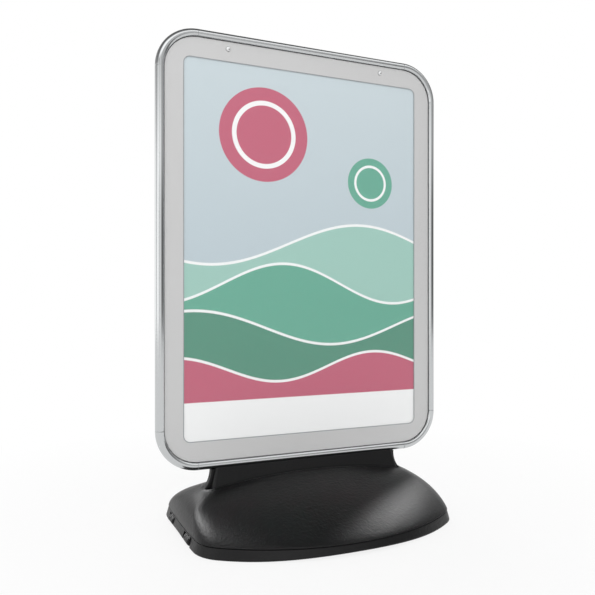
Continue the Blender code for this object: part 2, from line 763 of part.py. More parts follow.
def web_outline():
    """The web's side view: straight along the top, with a concave flare down each end."""
    half = WEB_LENGTH / 2
    flare = [(half + WEB_FLARE * (1 - math.cos(angle)), PANEL_RAISE - WEB_FLARE_HEIGHT * math.sin(angle))
             for angle in (math.pi / 2 * i / ARC_STEPS for i in range(ARC_STEPS + 1))]
    root = PANEL_RAISE - WEB_FLARE_HEIGHT - WEB_ROOT
    right = flare + [(half + WEB_FLARE, root)]
    return right + [(-x, z) for x, z in reversed(right)]


def seat_cutter(tools):
    """The rim's nose, grown by a fit gap, that leaves its seat in the top of the upstand."""
    half = RIM_DEPTH / 2 + FIT_GAP
    depth = RIM_NOSE + FIT_GAP
    outline = [(half * math.cos(angle), depth * (1 + math.sin(angle)) - FIT_GAP)
               for angle in (2 * math.pi * i / ROUND_STEPS for i in range(ROUND_STEPS))]
    matrix = axes(PANEL_RAISE * Z_AXIS, Y_AXIS, Z_AXIS)
    return as_cutter(curve_solid("rim_seat", [outline], CREST_LENGTH, matrix, tools))


def end_slots(tools):
    """The narrow slot down the middle of each end of the web."""
    made = []
    top = PANEL_RAISE + SEAT_DEPTH
    for name, sign in (("left", -1), ("right", 1)):
        near = sign * (WEB_LENGTH / 2 - END_SLOT_DEPTH)
        far = sign * (WEB_LENGTH / 2 + WEB_FLARE)
        low = Vector((min(near, far), -END_SLOT_WIDTH / 2, PANEL_RAISE - END_SLOT_HEIGHT))
        high = Vector((max(near, far), END_SLOT_WIDTH / 2, top))
        made.append(as_cutter(block(f"{name}_end_slot", low, high, tools)))
    return made


def make_shell(group, tools, recesses, material):
    """The upper moulding: domed top, bead, upstand with its web, filler neck and the hollow inside."""
    shell = loft("base_shell", shell_rings(), group, material)
    web = curve_solid("upstand_web", [web_outline()], WEB_THICKNESS / 2, upright(0, 0), tools)
    boolean(shell, as_cutter(web), "UNION")
    neck = filler_rod("filler_neck", NECK_DIAMETER, -NECK_ROOT, NECK_HEIGHT, tools)
    boolean(shell, as_cutter(neck), "UNION")
    start = inset(DOME_PLAN, SEAM_DEPTH + WALL)
    stations = [share * CAVITY_REACH for share in DOME_STATIONS]
    rings = [level_ring(start, UNDERSIDE_RAISE)] + [cavity_ring(share, WALL) for share in stations]
    hollow = loft("shell_hollow", rings, tools)
    boolean(shell, keep_solid(hollow, tools), "DIFFERENCE")
    mouth = filler_rod("filler_mouth", MOUTH_DIAMETER, -2 * NECK_ROOT, NECK_HEIGHT + WALL, tools)
    cuts = [seat_cutter(tools), as_cutter(mouth)] + end_slots(tools) + recesses
    cuts += bolt_holes("shell_hole", UNDERSIDE_RAISE, PANEL_RAISE + SEAT_DEPTH, tools)
    for tool in cuts:
        boolean(shell, tool, "DIFFERENCE")


def make_fixings(group, tools, material):
    """Two long bolts with washers, from the pockets up into the anchor bar."""
    washer_top = POCKET_TOP - FIT_GAP
    head_top = washer_top - WASHER_THICKNESS - FIT_GAP
    head = BOLT_HEAD_FLATS / math.sqrt(3)
    tip = PANEL_RAISE + CORE_EDGE - 2 * FIT_GAP
    for name, at in zip(("left", "right"), bolt_places()):
        ring = [circle(0, 0, WASHER_DIAMETER), circle(0, 0, BOLT_DIAMETER + 2 * HOLE_GAP)]
        middle = at + (washer_top - WASHER_THICKNESS / 2) * Z_AXIS
        curve_solid(f"{name}_washer", ring, WASHER_THICKNESS / 2, Matrix.Translation(middle), group, material)
        bm = bmesh.new()
        bmesh.ops.create_cone(bm, cap_ends=True, segments=6, radius1=head, radius2=head,
                              depth=BOLT_HEAD_HEIGHT,
                              matrix=Matrix.Translation((0, 0, head_top - BOLT_HEAD_HEIGHT / 2)))
        bolt = place(f"{name}_bolt", mesh_from(f"{name}_bolt", bm), group, material)
        bolt.location = at
        low = at + (head_top - BOLT_HEAD_HEIGHT / 2) * Z_AXIS
        shank = rod(f"{name}_bolt_shank", BOLT_DIAMETER, low, at + tip * Z_AXIS, tools)
        boolean(bolt, as_cutter(shank), "UNION")


def make_filler_cap(group, tools, material, rubber):
    """A cup-shaped screw cap with grip ribs, and the gasket that it presses on the neck."""
    bore = NECK_DIAMETER / 2 + HOLE_GAP
    steps = CAP_GRIPS * GRIP_STEPS
    angles = [2 * math.pi * i / steps for i in range(steps)]
    radii = [bore + CAP_WALL + GRIP_DEPTH * math.cos(CAP_GRIPS * angle) for angle in angles]
    outline = [(radius * math.cos(angle), radius * math.sin(angle)) for radius, angle in zip(radii, angles)]
    half = (CAP_SKIRT + CAP_TOP) / 2
    middle = filler_frame() @ Matrix.Translation((CAP_START + half) * Z_AXIS)
    cap = curve_solid("filler_cap", [outline], half, middle, group, material)
    cup = filler_rod("cap_cup", 2 * bore, CAP_START - WALL, CAP_START + CAP_SKIRT, tools)
    boolean(cap, as_cutter(cup), "DIFFERENCE")
    ring = [circle(0, 0, NECK_DIAMETER, ROUND_STEPS), circle(0, 0, MOUTH_DIAMETER, ROUND_STEPS)]
    seat = filler_frame() @ Matrix.Translation((NECK_HEIGHT + FIT_GAP + GASKET_THICKNESS / 2) * Z_AXIS)
    curve_solid("filler_gasket", ring, GASKET_THICKNESS / 2, seat, group, rubber)


def make_wheels(group, material, steel):
    """Two moulded wheels, dished at the hub, each on its own axle pin."""
    half = WHEEL_WIDTH / 2
    bore = AXLE_DIAMETER / 2 + FIT_GAP
    tread = arc((WHEEL_RADIUS - TYRE_ROUND, half - TYRE_ROUND), TYRE_ROUND, math.pi / 2, 0, EDGE_STEPS)
    dish = WHEEL_RADIUS - TYRE_ROUND - HUB_DISH
    upper = [(bore, half - HUB_DISH), (dish, half - HUB_DISH)] + tread
    profile = upper + [(radius, -height) for radius, height in reversed(upper)]
    turn = Matrix.Rotation(math.pi / 2, 4, "X")
    for name, at in wheel_places():
        turned(f"{name}_wheel", profile, ROUND_STEPS, Matrix.Translation(at) @ turn, group, material)
        reach = axle_span() - FIT_GAP * Y_AXIS
        pin = rod(f"{name}_axle_pin", AXLE_DIAMETER, at - reach, at + reach, group)
        pin.data.materials.append(steel)


def main():
    """Build the sign."""
    clear_scene()
    sign = new_collection("forecourt_poster_sign")
    cutters = new_collection("cutters")
    aluminium = make_material("polished_aluminium", (0.62, 0.63, 0.64), 0.22, 1.0)
    plastic = make_material("black_polyethylene", (0.018, 0.018, 0.019), 0.42)
    rubber = make_material("black_rubber", (0.02, 0.02, 0.02), 0.7)
    steel = make_material("zinc_plated_steel", (0.55, 0.56, 0.57), 0.35, 1.0)
    board = make_material("foam_pvc_board", (0.75, 0.75, 0.75), 0.6)
    paper = make_material("printed_paper", (0.50, 0.60, 0.64), 0.5)
    clear = make_material("clear_pet_sheet", (0.95, 0.96, 0.96), 0.12, 0.0, 0.15)
    silver = make_material("silver_border_print", (0.57, 0.57, 0.57), 0.4)
    magnet = make_material("ferrite_magnet_strip", (0.06, 0.05, 0.05), 0.7)
    make_rails(sign, cutters, aluminium)
    make_corners(sign, cutters, aluminium)
    make_anchor_bar(sign, steel)
    make_panel(sign, board, steel, paper)
    make_covers(sign, clear, silver, magnet)
    make_studs(sign, steel)
    recesses = bolt_pockets(cutters) + wheel_recesses(cutters)
    make_tray(sign, cutters, recesses, plastic)
    make_shell(sign, cutters, recesses, plastic)
    make_fixings(sign, cutters, steel)
    make_filler_cap(sign, cutters, plastic, rubber)
    make_wheels(sign, plastic, steel)


main()
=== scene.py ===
"""Looks of a forecourt poster sign: metal rim, clear covers, printed posters and a grained black base.

The frame is +Z up in metres, with the panel in the XZ plane and its front towards -Y.
"""

import json
import math
from collections import namedtuple

import bmesh
import bpy
import numpy as np
from bpy.props import FloatProperty, FloatVectorProperty, IntProperty, PointerProperty
from mathutils import Matrix, Vector


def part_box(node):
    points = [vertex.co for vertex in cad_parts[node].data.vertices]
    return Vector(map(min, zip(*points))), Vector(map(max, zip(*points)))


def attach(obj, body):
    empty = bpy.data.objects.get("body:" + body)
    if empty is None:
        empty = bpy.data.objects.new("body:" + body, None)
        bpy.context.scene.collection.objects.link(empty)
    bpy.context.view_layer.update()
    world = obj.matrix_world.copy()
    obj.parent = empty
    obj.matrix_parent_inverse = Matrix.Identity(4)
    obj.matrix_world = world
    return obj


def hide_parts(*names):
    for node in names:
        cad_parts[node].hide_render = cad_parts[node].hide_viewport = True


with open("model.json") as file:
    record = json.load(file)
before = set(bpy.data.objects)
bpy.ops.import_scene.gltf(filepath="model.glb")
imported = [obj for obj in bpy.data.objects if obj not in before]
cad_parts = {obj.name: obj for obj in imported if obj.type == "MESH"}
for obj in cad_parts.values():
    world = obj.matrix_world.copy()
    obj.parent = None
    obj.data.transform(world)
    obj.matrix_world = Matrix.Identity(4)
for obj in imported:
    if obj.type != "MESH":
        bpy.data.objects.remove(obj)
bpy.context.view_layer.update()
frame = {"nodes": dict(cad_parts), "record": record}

bl_info = {
    "name": "Forecourt poster sign",
    "version": (1, 0, 0),
    "blender": (4, 5, 0),
    "location": "View3D > Sidebar > Sign",
    "description": "Finishes a forecourt poster sign: rim, covers, posters, ballast base and studio",
    "category": "Object",
}

FACES = {"front": -1, "rear": 1}
HANDS = ("left", "right")
CREASE_ANGLE = math.radians(34)
MERGE_DISTANCE = 1e-6
MILLIMETRE = 0.001
PHOTO_SIZE = 595

# Places read from the frame
LEFT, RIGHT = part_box("left_rail")[0][0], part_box("right_rail")[1][0]
LOW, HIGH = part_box("bottom_rail")[0][2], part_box("top_rail")[1][2]
HALF_WIDTH, HALF_HEIGHT = (RIGHT - LEFT) / 2, (HIGH - LOW) / 2
RIM_DEPTH = 2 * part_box("top_rail")[1][1]
RIM_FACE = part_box("left_rail")[1][0] - LEFT
RAIL_END_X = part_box("top_rail")[1][0]
RAIL_END_LOW, RAIL_END_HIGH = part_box("left_rail")[0][2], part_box("left_rail")[1][2]
CORNER_RADIUS = round(HIGH - RAIL_END_HIGH, 3)
STEEL_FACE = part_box("rear_steel_sheet")[1][1]
BORDER_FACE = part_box("rear_cover_border")[1][1]
COVER_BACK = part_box("rear_cover_sheet")[0][1]
TRAY_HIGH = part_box("base_tray")[1]
SHELL_LOW, SHELL_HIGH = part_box("base_shell")
JOINTS = {joint["name"]: joint for joint in frame["record"]["behaviour"]["joints"]}

# A plan of the base: an oblong whose four sides are arcs
Plan = namedtuple("Plan", "half_length half_depth side_bow end_bow corner")

# The poster's hills, from the back to the front: height above the ground, rise and fall, waves and start
Hill = namedtuple("Hill", "level swing waves start")
HILLS = (Hill(level=0.62, swing=0.050, waves=8.5, start=0.4),
         Hill(level=0.53, swing=0.045, waves=11.0, start=2.2),
         Hill(level=0.43, swing=0.040, waves=9.5, start=4.1),
         Hill(level=0.34, swing=0.030, waves=13.0, start=5.6))
# A disc's white ring, as shares of the disc's radius
RING_OUTER, RING_INNER = 0.72, 0.62
# The step between two inks is soft over one print dot on each side.
PRINT_DOT = 0.5 * MILLIMETRE

# Plain rings of a rail or bend start this many end roundings from its end
PLAIN_START = 1.6
# The dome's rings lie closer together over this share of its slope, next to the edge
CLOSE_RINGS = 0.12
# Shares of the bead's width: where its swell ends and where the crease behind it starts
SWELL_END, CREASE_START = 0.8, 0.7
# A seam's rounding: how much of its depth is left at which share of its height
SEAM_LEFT, SEAM_UP = 1 / 4, 1 / 3
# The dish in the cap's top, as shares of the cap's radius: its edge and its floor
DISH_EDGE, DISH_FLOOR = 0.62, 0.58
# Points round the cap for each grip
GRIP_POINTS = 8


# Colours and nodes

def linear(hex_colour):
    """Turn an sRGB hex colour into linear red, green, blue and alpha."""
    parts = np.array([int(hex_colour[i:i + 2], 16) for i in (1, 3, 5)]) / 255
    curved = ((parts + 0.055) / 1.055) ** 2.4
    return (*np.where(parts > 0.04045, curved, parts / 12.92).tolist(), 1.0)


def length(label, default, words):
    """A length that a user can change, in metres."""
    return FloatProperty(name=label, description=words, default=default, min=0, unit="LENGTH", precision=5)


def number(label, default, words, least=0.0, **kind):
    """A number that a user can change, with its unit or subtype where it has one."""
    return FloatProperty(name=label, description=words, default=default, min=least, **kind)


def fraction(label, default, words):
    """A share between nothing and all that a user can change."""
    return FloatProperty(name=label, description=words, default=default, min=0, max=1, subtype="FACTOR")


def spot(label, default, words):
    """A place that a user can change, in metres."""
    return FloatVectorProperty(name=label, description=words, default=default, size=len(default),
                               subtype="XYZ", unit="LENGTH")


def colour(label, hex_colour, words):
    """A colour that a user can change."""
    return FloatVectorProperty(name=label, description=words, default=linear(hex_colour), size=4,
                               subtype="COLOR", min=0, max=1)


def add_node(tree, kind, inputs=None, **settings):
    """Add a node with its settings, and set or link its inputs by name or number."""
    made = tree.nodes.new(kind)
    for key, value in settings.items():
        setattr(made, key, value)
    for key, value in (inputs or {}).items():
        if isinstance(value, bpy.types.NodeSocket):
            tree.links.new(value, made.inputs[key])
        else:
            made.inputs[key].default_value = value
    return made


def new_material(name, values):
    """A Principled material with constants on the shader's own sockets. Gives material, tree and shader."""
    material = bpy.data.materials.new(name)
    material.use_nodes = True
    tree = material.node_tree
    shader = tree.nodes["Principled BSDF"]
    for socket, value in values.items():
        shader.inputs[socket].default_value = value
    return material, tree, shader


def empty_material(name):
    """A material with no nodes yet. Gives material and tree."""
    material = bpy.data.materials.new(name)
    material.use_nodes = True
    material.node_tree.nodes.clear()
    return material, material.node_tree


def lead_in(tree, shader, sockets):
    """Link outputs to a shader's sockets by name."""
    for socket, output in sockets.items():
        tree.links.new(output, shader.inputs[socket])


# Materials

def polished_aluminium(looks):
    """Drawn, polished and clear-anodised aluminium: bright, with faint die lines along the length."""
    material, tree, shader = new_material("polished_aluminium", {
        "Base Color": looks.metal, "Metallic": 1.0, "Roughness": looks.gloss})
    place = add_node(tree, "ShaderNodeTexCoord").outputs["UV"]
    # Die lines 0.7 mm apart and hundreds of times longer, drawn coarser than real ones so that they show.
    stretch = add_node(tree, "ShaderNodeMapping", {
        "Vector": place, "Scale": (2.0, 1 / (0.7 * MILLIMETRE), 1.0)})
    lines = add_node(tree, "ShaderNodeTexNoise", {"Vector": stretch.outputs[0], "Scale": 1.0, "Detail": 2.0})
    # Between the lines the polish is a little duller.
    polish = add_node(tree, "ShaderNodeMapRange", {
        "Value": lines.outputs["Fac"], "To Min": looks.gloss - 0.05, "To Max": looks.gloss + 0.07})
    bump = add_node(tree, "ShaderNodeBump", {"Height": lines.outputs["Fac"], "Distance": 0.006 * MILLIMETRE,
                                             "Strength": 1.0})
    lead_in(tree, shader, {"Roughness": polish.outputs["Result"], "Normal": bump.outputs["Normal"]})
    return material


def grained_polyethylene(looks):
    """Rotation-moulded black polyethylene: satin, with the leather grain of its mould."""
    material, tree, shader = new_material("black_polyethylene", {
        "Base Color": looks.plastic, "Roughness": looks.satin, "Specular IOR Level": 0.25, "IOR": 1.5})
    place = add_node(tree, "ShaderNodeTexCoord").outputs["Object"]
    # Grain cells 3.4 mm wide, about three times the real ones, so that they show at the render's size.
    cells = add_node(tree, "ShaderNodeTexVoronoi", {"Vector": place, "Scale": 1 / (3.4 * MILLIMETRE)},
                     feature="SMOOTH_F1")
    # Pebbling 7 mm wide breaks the cells up, as worn mould texture does.
    pebbles = add_node(tree, "ShaderNodeTexNoise", {
        "Vector": place, "Scale": 1 / (7 * MILLIMETRE), "Detail": 3.0})
    height = add_node(tree, "ShaderNodeMath", {0: cells.outputs["Distance"], 1: pebbles.outputs["Fac"],
                                               2: pebbles.outputs["Fac"]}, operation="MULTIPLY_ADD")
    bump = add_node(tree, "ShaderNodeBump", {"Height": height.outputs[0], "Distance": looks.grain,
                                             "Strength": 1.0})
    sheen = add_node(tree, "ShaderNodeMapRange", {
        "Value": pebbles.outputs["Fac"], "To Min": looks.satin - 0.05, "To Max": looks.satin + 0.05})
    # Dust and handling leave patches 90 mm wide a little greyer.
    haze = add_node(tree, "ShaderNodeTexNoise", {
        "Vector": place, "Scale": 1 / (90 * MILLIMETRE), "Detail": 4.0})
    tint = add_node(tree, "ShaderNodeMix", {"Factor": haze.outputs["Fac"], 6: looks.plastic, 7: looks.dust},
                    data_type="RGBA")
    lead_in(tree, shader, {"Base Color": tint.outputs[2], "Roughness": sheen.outputs["Result"],
                           "Normal": bump.outputs["Normal"]})
    return material


def plated_steel(name, plating, roughness):
    """Zinc-plated or nickelled steel: bright, with a fine cloudy bloom from the bath."""
    material, tree, shader = new_material(name, {
        "Base Color": plating, "Metallic": 1.0, "Roughness": roughness})
    place = add_node(tree, "ShaderNodeTexCoord").outputs["Object"]
    # Bloom about 3 mm across.
    bloom = add_node(tree, "ShaderNodeTexNoise", {
        "Vector": place, "Scale": 1 / (3 * MILLIMETRE), "Detail": 5.0})
    dulled = add_node(tree, "ShaderNodeMapRange", {"Value": bloom.outputs["Fac"], "To Min": roughness - 0.06,
                                                   "To Max": roughness + 0.1})
    lead_in(tree, shader, {"Roughness": dulled.outputs["Result"]})
    return material


def galvanised_sheet():
    """Hot-dip galvanised sheet: dull grey, with zinc spangles of slightly different brightness."""
    material, tree, shader = new_material("galvanised_steel", {"Metallic": 1.0, "Roughness": 0.42})
    place = add_node(tree, "ShaderNodeTexCoord").outputs["Object"]
    # Spangles about 11 mm across.
    spangle = add_node(tree, "ShaderNodeTexVoronoi", {"Vector": place, "Scale": 1 / (11 * MILLIMETRE)})
    tint = add_node(tree, "ShaderNodeMix", {"Factor": spangle.outputs["Color"], 6: linear("#A9ADB0"),
                                            7: linear("#C2C5C7")}, data_type="RGBA")
    lead_in(tree, shader, {"Base Color": tint.outputs[2]})
    return material


def foam_board():
    """Foamed PVC board: white and matt, with a fine cell structure."""
    material, tree, shader = new_material("foamed_pvc", {"Base Color": linear("#E4E4E2"), "Roughness": 0.65})
    place = add_node(tree, "ShaderNodeTexCoord").outputs["Object"]
    # Foam cells about 0.8 mm across.
    cells = add_node(tree, "ShaderNodeTexVoronoi", {"Vector": place, "Scale": 1 / (0.8 * MILLIMETRE)})
    bump = add_node(tree, "ShaderNodeBump", {
        "Height": cells.outputs["Distance"], "Distance": 0.02 * MILLIMETRE, "Strength": 1.0})
    lead_in(tree, shader, {"Normal": bump.outputs["Normal"]})
    return material


def dull_moulding(name, hex_colour, pitch):
    """Extruded rubber, bonded ferrite or moulded nylon: dark and matt, with a fine uneven skin."""
    material, tree, shader = new_material(name, {"Base Color": linear(hex_colour), "Roughness": 0.7})
    place = add_node(tree, "ShaderNodeTexCoord").outputs["Object"]
    skin = add_node(tree, "ShaderNodeTexNoise", {"Vector": place, "Scale": 1 / pitch, "Detail": 3.0})
    bump = add_node(tree, "ShaderNodeBump", {"Height": skin.outputs["Fac"], "Distance": 0.04 * MILLIMETRE,
                                             "Strength": 1.0})
    matt = add_node(tree, "ShaderNodeMapRange", {"Value": skin.outputs["Fac"], "To Min": 0.6, "To Max": 0.8})
    lead_in(tree, shader, {"Roughness": matt.outputs["Result"], "Normal": bump.outputs["Normal"]})
    return material


def clear_sheet(looks):
    """Clear anti-glare PET sheet: almost invisible, with a soft sheen and slight waviness."""
    material, tree, shader = new_material("clear_pet", {
        "Base Color": linear("#FFFFFF"), "Roughness": looks.cover_gloss, "IOR": 1.57,
        "Alpha": looks.cover_haze})
    place = add_node(tree, "ShaderNodeTexCoord").outputs["Object"]
    # Sheet waviness 120 mm long.
    wave = add_node(tree, "ShaderNodeTexNoise", {"Vector": place, "Scale": 1 / (120 * MILLIMETRE)})
    bump = add_node(tree, "ShaderNodeBump", {"Height": wave.outputs["Fac"], "Distance": 0.3 * MILLIMETRE,
                                             "Strength": 1.0})
    lead_in(tree, shader, {"Normal": bump.outputs["Normal"]})
    return material


def silver_ink(looks):
    """Silver screen ink on the back of the sheet: pale, smooth, with a fine flake."""
    material, tree, shader = new_material("silver_screen_ink", {"Roughness": 0.38, "Metallic": 0.15})
    place = add_node(tree, "ShaderNodeTexCoord").outputs["Object"]
    # Flake 1.5 mm across, coarser than real flake so that it shows.
    flake = add_node(tree, "ShaderNodeTexNoise", {
        "Vector": place, "Scale": 1 / (1.5 * MILLIMETRE), "Detail": 2.0})
    tint = add_node(tree, "ShaderNodeMix", {"Factor": flake.outputs["Fac"], 6: looks.border_dark,
                                            7: looks.border_light}, data_type="RGBA")
    lead_in(tree, shader, {"Base Color": tint.outputs[2]})
    return material


def keyline_and_shade_ink(looks):
    """Grey screen ink of the thin line round the window, laid dark enough to also paint the shade at the
    window's recessed edge; faintly mottled by the mesh of the screen.
    """
    material, tree, shader = new_material("grey_screen_ink", {"Roughness": 0.45})
    place = add_node(tree, "ShaderNodeTexCoord").outputs["Object"]
    # Mottle 2 mm across.
    mottle = add_node(tree, "ShaderNodeTexNoise", {"Vector": place, "Scale": 1 / (2 * MILLIMETRE)})
    faint = add_node(tree, "ShaderNodeMapRange", {
        "Value": mottle.outputs["Fac"], "To Min": 0.0, "To Max": 0.3})
    tint = add_node(tree, "ShaderNodeMix", {"Factor": faint.outputs["Result"], 6: looks.keyline,
                                            7: looks.border_dark}, data_type="RGBA")
    lead_in(tree, shader, {"Base Color": tint.outputs[2]})
    return material


def disc_layers(tree, x, z, looks):
    """Print layers of two ringed discs, as (distance, edge, ink): a disc, a white ring on it, its middle."""
    flat = add_node(tree, "ShaderNodeCombineXYZ", {"X": x, "Z": z}).outputs[0]
    layers = []
    for centre, radius, ink in ((looks.sun_place, looks.sun_radius, looks.crimson),
                                (looks.ring_place, looks.ring_radius, looks.mint)):
        apart = add_node(tree, "ShaderNodeVectorMath", {0: flat, 1: (centre[0], 0, centre[1])},
                         operation="DISTANCE").outputs["Value"]
        layers += [(apart, radius, ink), (apart, radius * RING_OUTER, looks.white),
                   (apart, radius * RING_INNER, ink)]
    return layers


def hill_layers(tree, x, z, looks):
    """Print layers of the hills, as (height, edge, ink): sine crests, each with a white line along it."""
    layers = []
    for hill, ink in zip(HILLS, (looks.mint_pale, looks.mint, looks.mint_deep, looks.crimson)):
        phase = add_node(tree, "ShaderNodeMath", {0: x, 1: hill.waves, 2: hill.start},
                         operation="MULTIPLY_ADD")
        roll = add_node(tree, "ShaderNodeMath", {0: phase.outputs[0]}, operation="SINE")
        height = add_node(tree, "ShaderNodeMath", {0: roll.outputs[0], 1: -hill.swing, 2: z},
                          operation="MULTIPLY_ADD").outputs[0]
        layers += [(height, hill.level + looks.crest_line, looks.white), (height, hill.level, ink)]
    return layers


def printed_poster(looks):
    """Offset print on coated paper: hills and a sun in flat inks on a pale ground, over a white foot."""
    material, tree, shader = new_material("coated_poster_paper", {"Roughness": 0.45})
    place = add_node(tree, "ShaderNodeTexCoord").outputs["Object"]
    axis = add_node(tree, "ShaderNodeSeparateXYZ", {"Vector": place})
    x, z = axis.outputs["X"], axis.outputs["Z"]
    fade = add_node(tree, "ShaderNodeMapRange", {"Value": z, "From Min": looks.foot_height, "From Max": HIGH})
    print_colour = add_node(tree, "ShaderNodeMix", {"Factor": fade.outputs["Result"], 6: looks.ground_low,
                                                    7: looks.ground_high}, data_type="RGBA").outputs[2]
    layers = disc_layers(tree, x, z, looks) + hill_layers(tree, x, z, looks)
    for distance, edge, ink in layers + [(z, looks.foot_height, looks.white)]:
        # An ink covers what is nearer than its edge.
        mask = add_node(tree, "ShaderNodeMapRange", {
            "Value": distance, "From Min": edge - PRINT_DOT, "From Max": edge + PRINT_DOT,
            "To Min": 1.0, "To Max": 0.0})
        print_colour = add_node(tree, "ShaderNodeMix", {
            "Factor": mask.outputs["Result"], 6: print_colour, 7: ink}, data_type="RGBA").outputs[2]
    # Paper tooth about 0.6 mm across.
    tooth = add_node(tree, "ShaderNodeTexNoise", {"Vector": place, "Scale": 1 / (0.6 * MILLIMETRE)})
    matt = add_node(tree, "ShaderNodeMapRange", {"Value": tooth.outputs["Fac"], "To Min": 0.4, "To Max": 0.5})
    lead_in(tree, shader, {"Base Color": print_colour, "Roughness": matt.outputs["Result"]})
    return material


# Meshes

def finish_mesh(mesh):
    """Merge seams and poles, turn faces outwards and shade smooth up to the crease angle."""
    bm = bmesh.new()
    bm.from_mesh(mesh)
    bmesh.ops.remove_doubles(bm, verts=bm.verts, dist=MERGE_DISTANCE)
    bmesh.ops.recalc_face_normals(bm, faces=bm.faces)
    bm.to_mesh(mesh)
    bm.free()
    mesh.shade_smooth()
    mesh.set_sharp_from_angle(angle=CREASE_ANGLE)


def surface(name, points, caps=True, along=None):
    """A tube from a grid of points [ring, place on ring, xyz]: quads join neighbours and each ring is closed.
    caps closes both end rings with a face, and without them the last ring joins the first. along gives the
    rings' distances for the UV map's first axis."""
    rings, count = points.shape[:2]
    index = np.arange(rings * count).reshape(rings, count)
    closed = np.column_stack([index, index[:, :1]])
    quads = np.stack([closed[:-1, :-1], closed[:-1, 1:], closed[1:, 1:], closed[1:, :-1]], axis=-1)
    faces = quads.reshape(-1, 4).tolist()
    if caps:
        faces += [index[0, ::-1].tolist(), index[-1].tolist()]
    else:
        last = np.stack([closed[-1, :-1], closed[-1, 1:], closed[0, 1:], closed[0, :-1]], axis=-1)
        faces += last.tolist()
    mesh = bpy.data.meshes.new(name)
    mesh.from_pydata(points.reshape(-1, 3), [], faces)
    if along is not None:
        # The UV map's axes are metres along the tube and metres round it.
        steps = np.linalg.norm(np.diff(points, axis=1, append=points[:, :1]), axis=2).mean(axis=0)
        around = np.concatenate([[0.0], np.cumsum(steps)])
        u = np.broadcast_to(np.asarray(along)[:, None], closed.shape)
        v = np.broadcast_to(around, closed.shape)
        grid = np.stack([u, v], axis=-1)
        corners = np.stack([grid[:-1, :-1], grid[:-1, 1:], grid[1:, 1:], grid[1:, :-1]], axis=-2)
        layer = mesh.uv_layers.new(name="along_and_around")
        flat = np.zeros((len(mesh.loops), 2), dtype=np.float32)
        flat[:corners.size // 2] = corners.reshape(-1, 2)
        layer.uv.foreach_set("vector", flat.ravel())
    finish_mesh(mesh)
    made = bpy.data.objects.new(name, mesh)
    bpy.context.scene.collection.objects.link(made)
    return made


def combine(piece, tool, operation):
    """Join a tool to a piece, or cut it out, apply the result and remove the tool."""
    step = piece.modifiers.new(operation.lower(), "BOOLEAN")
    step.operation = operation
    step.object = tool
    step.solver = "EXACT"
    bpy.context.view_layer.update()
    mesh = bpy.data.meshes.new_from_object(piece.evaluated_get(bpy.context.evaluated_depsgraph_get()))
    piece.modifiers.clear()
    piece.data = mesh
    finish_mesh(mesh)
    bpy.data.objects.remove(tool, do_unlink=True)


def dress(piece, material, body, slot, *nodes):
    """Give a finished piece its material, body and the nodes that it stands for. The slot is not used."""
    piece.data.materials.clear()
    piece.data.materials.append(material)
    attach(piece, body)
    if nodes:
        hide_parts(*nodes)


def paint(material, *nodes):
    """Give CAD nodes a material."""
    for name in nodes:
        obj = frame["nodes"][name]
        if not obj.material_slots:
            obj.data.materials.append(material)
        for place in obj.material_slots:
            place.material = material


def arc(start, end, steps):
    """Cosines and sines of evenly spaced angles, both ends included."""
    angles = np.linspace(start, end, steps + 1)
    return np.cos(angles), np.sin(angles)


def offset(outline, distance):
    """Move a closed outline of 2D points inwards along its normals."""
    ahead = np.roll(outline, -1, axis=0) - np.roll(outline, 1, axis=0)
    normal = np.stack([-ahead[:, 1], ahead[:, 0]], axis=1)
    normal /= np.linalg.norm(normal, axis=1, keepdims=True)
    return outline + distance * normal


def turned(name, profile, frame_at, steps, closed=False):
    """Carry a profile of (radius, height) points round the Z axis of a placement. closed joins its ends."""
    cos, sin = arc(0, 2 * math.pi, steps)
    radius, height = np.asarray(profile).T[:, :, None]
    local = np.stack(np.broadcast_arrays(radius * cos[:-1], radius * sin[:-1], height), axis=-1)
    turn = np.array(frame_at.to_3x3())
    return surface(name, local @ turn.T + np.array(frame_at.translation), caps=not closed)


def outward(axis, location):
    """A placement whose Z axis points along a world direction."""
    turn = Vector((0, 0, 1)).rotation_difference(Vector(axis)).to_matrix().to_4x4()
    return Matrix.Translation(location) @ turn


# Rim

def rim_section(looks):
    """The rim's section as (inwards, across): half-ellipse nose, quarter-ellipse shoulders and a slot."""
    half = RIM_DEPTH / 2
    nose_cos, nose_sin = arc(math.pi / 2, 1.5 * math.pi, steps=40)
    nose = np.stack([looks.nose * (1 + nose_cos), half * nose_sin], axis=1)
    lip_cos, lip_sin = arc(-math.pi / 2, 0, steps=16)
    lip = np.stack([RIM_FACE + looks.lip * (lip_cos - 1), looks.lip_fall * (1 + lip_sin) - half], axis=1)
    slot = STEEL_FACE + looks.slot_gap
    throat = [(RIM_FACE, -slot), (looks.slot_floor, -slot), (looks.slot_floor, slot), (RIM_FACE, slot)]
    return np.concatenate([nose, lip, throat, lip[::-1] * (1, -1)])


def end_rounding(looks):
    """How far each ring near an end lies from it, and how far its section shrinks: a quarter circle."""
    cos, sin = arc(0, math.pi / 2, steps=4)
    return looks.end_round * (1 - cos), looks.end_round * (1 - sin)


def rounded_stations(looks, start, end, inner):
    """Distances along a rail or bend and the section's shrink at each: rounded ends, even steps between."""
    depth, shrink = end_rounding(looks)
    margin = PLAIN_START * looks.end_round
    between = np.linspace(start + margin, end - margin, inner)
    along = np.concatenate([start + depth, between, end - depth[::-1]])
    return along, np.concatenate([shrink, np.zeros(inner), shrink[::-1]])


def carried_rim(name, looks, along, shrink, place):
    """Carry the rim's section along a path: place(distance) gives each ring's origin and inward direction."""
    section = rim_section(looks)
    rings = np.stack([offset(section, amount) if amount > 0 else section for amount in shrink])
    origin, inward = place(along)
    points = origin[:, None, :] + rings[:, :, :1] * inward[:, None, :]
    points = points + rings[:, :, 1:] * np.array((0.0, 1.0, 0.0))
    return surface(name, points, along=along)


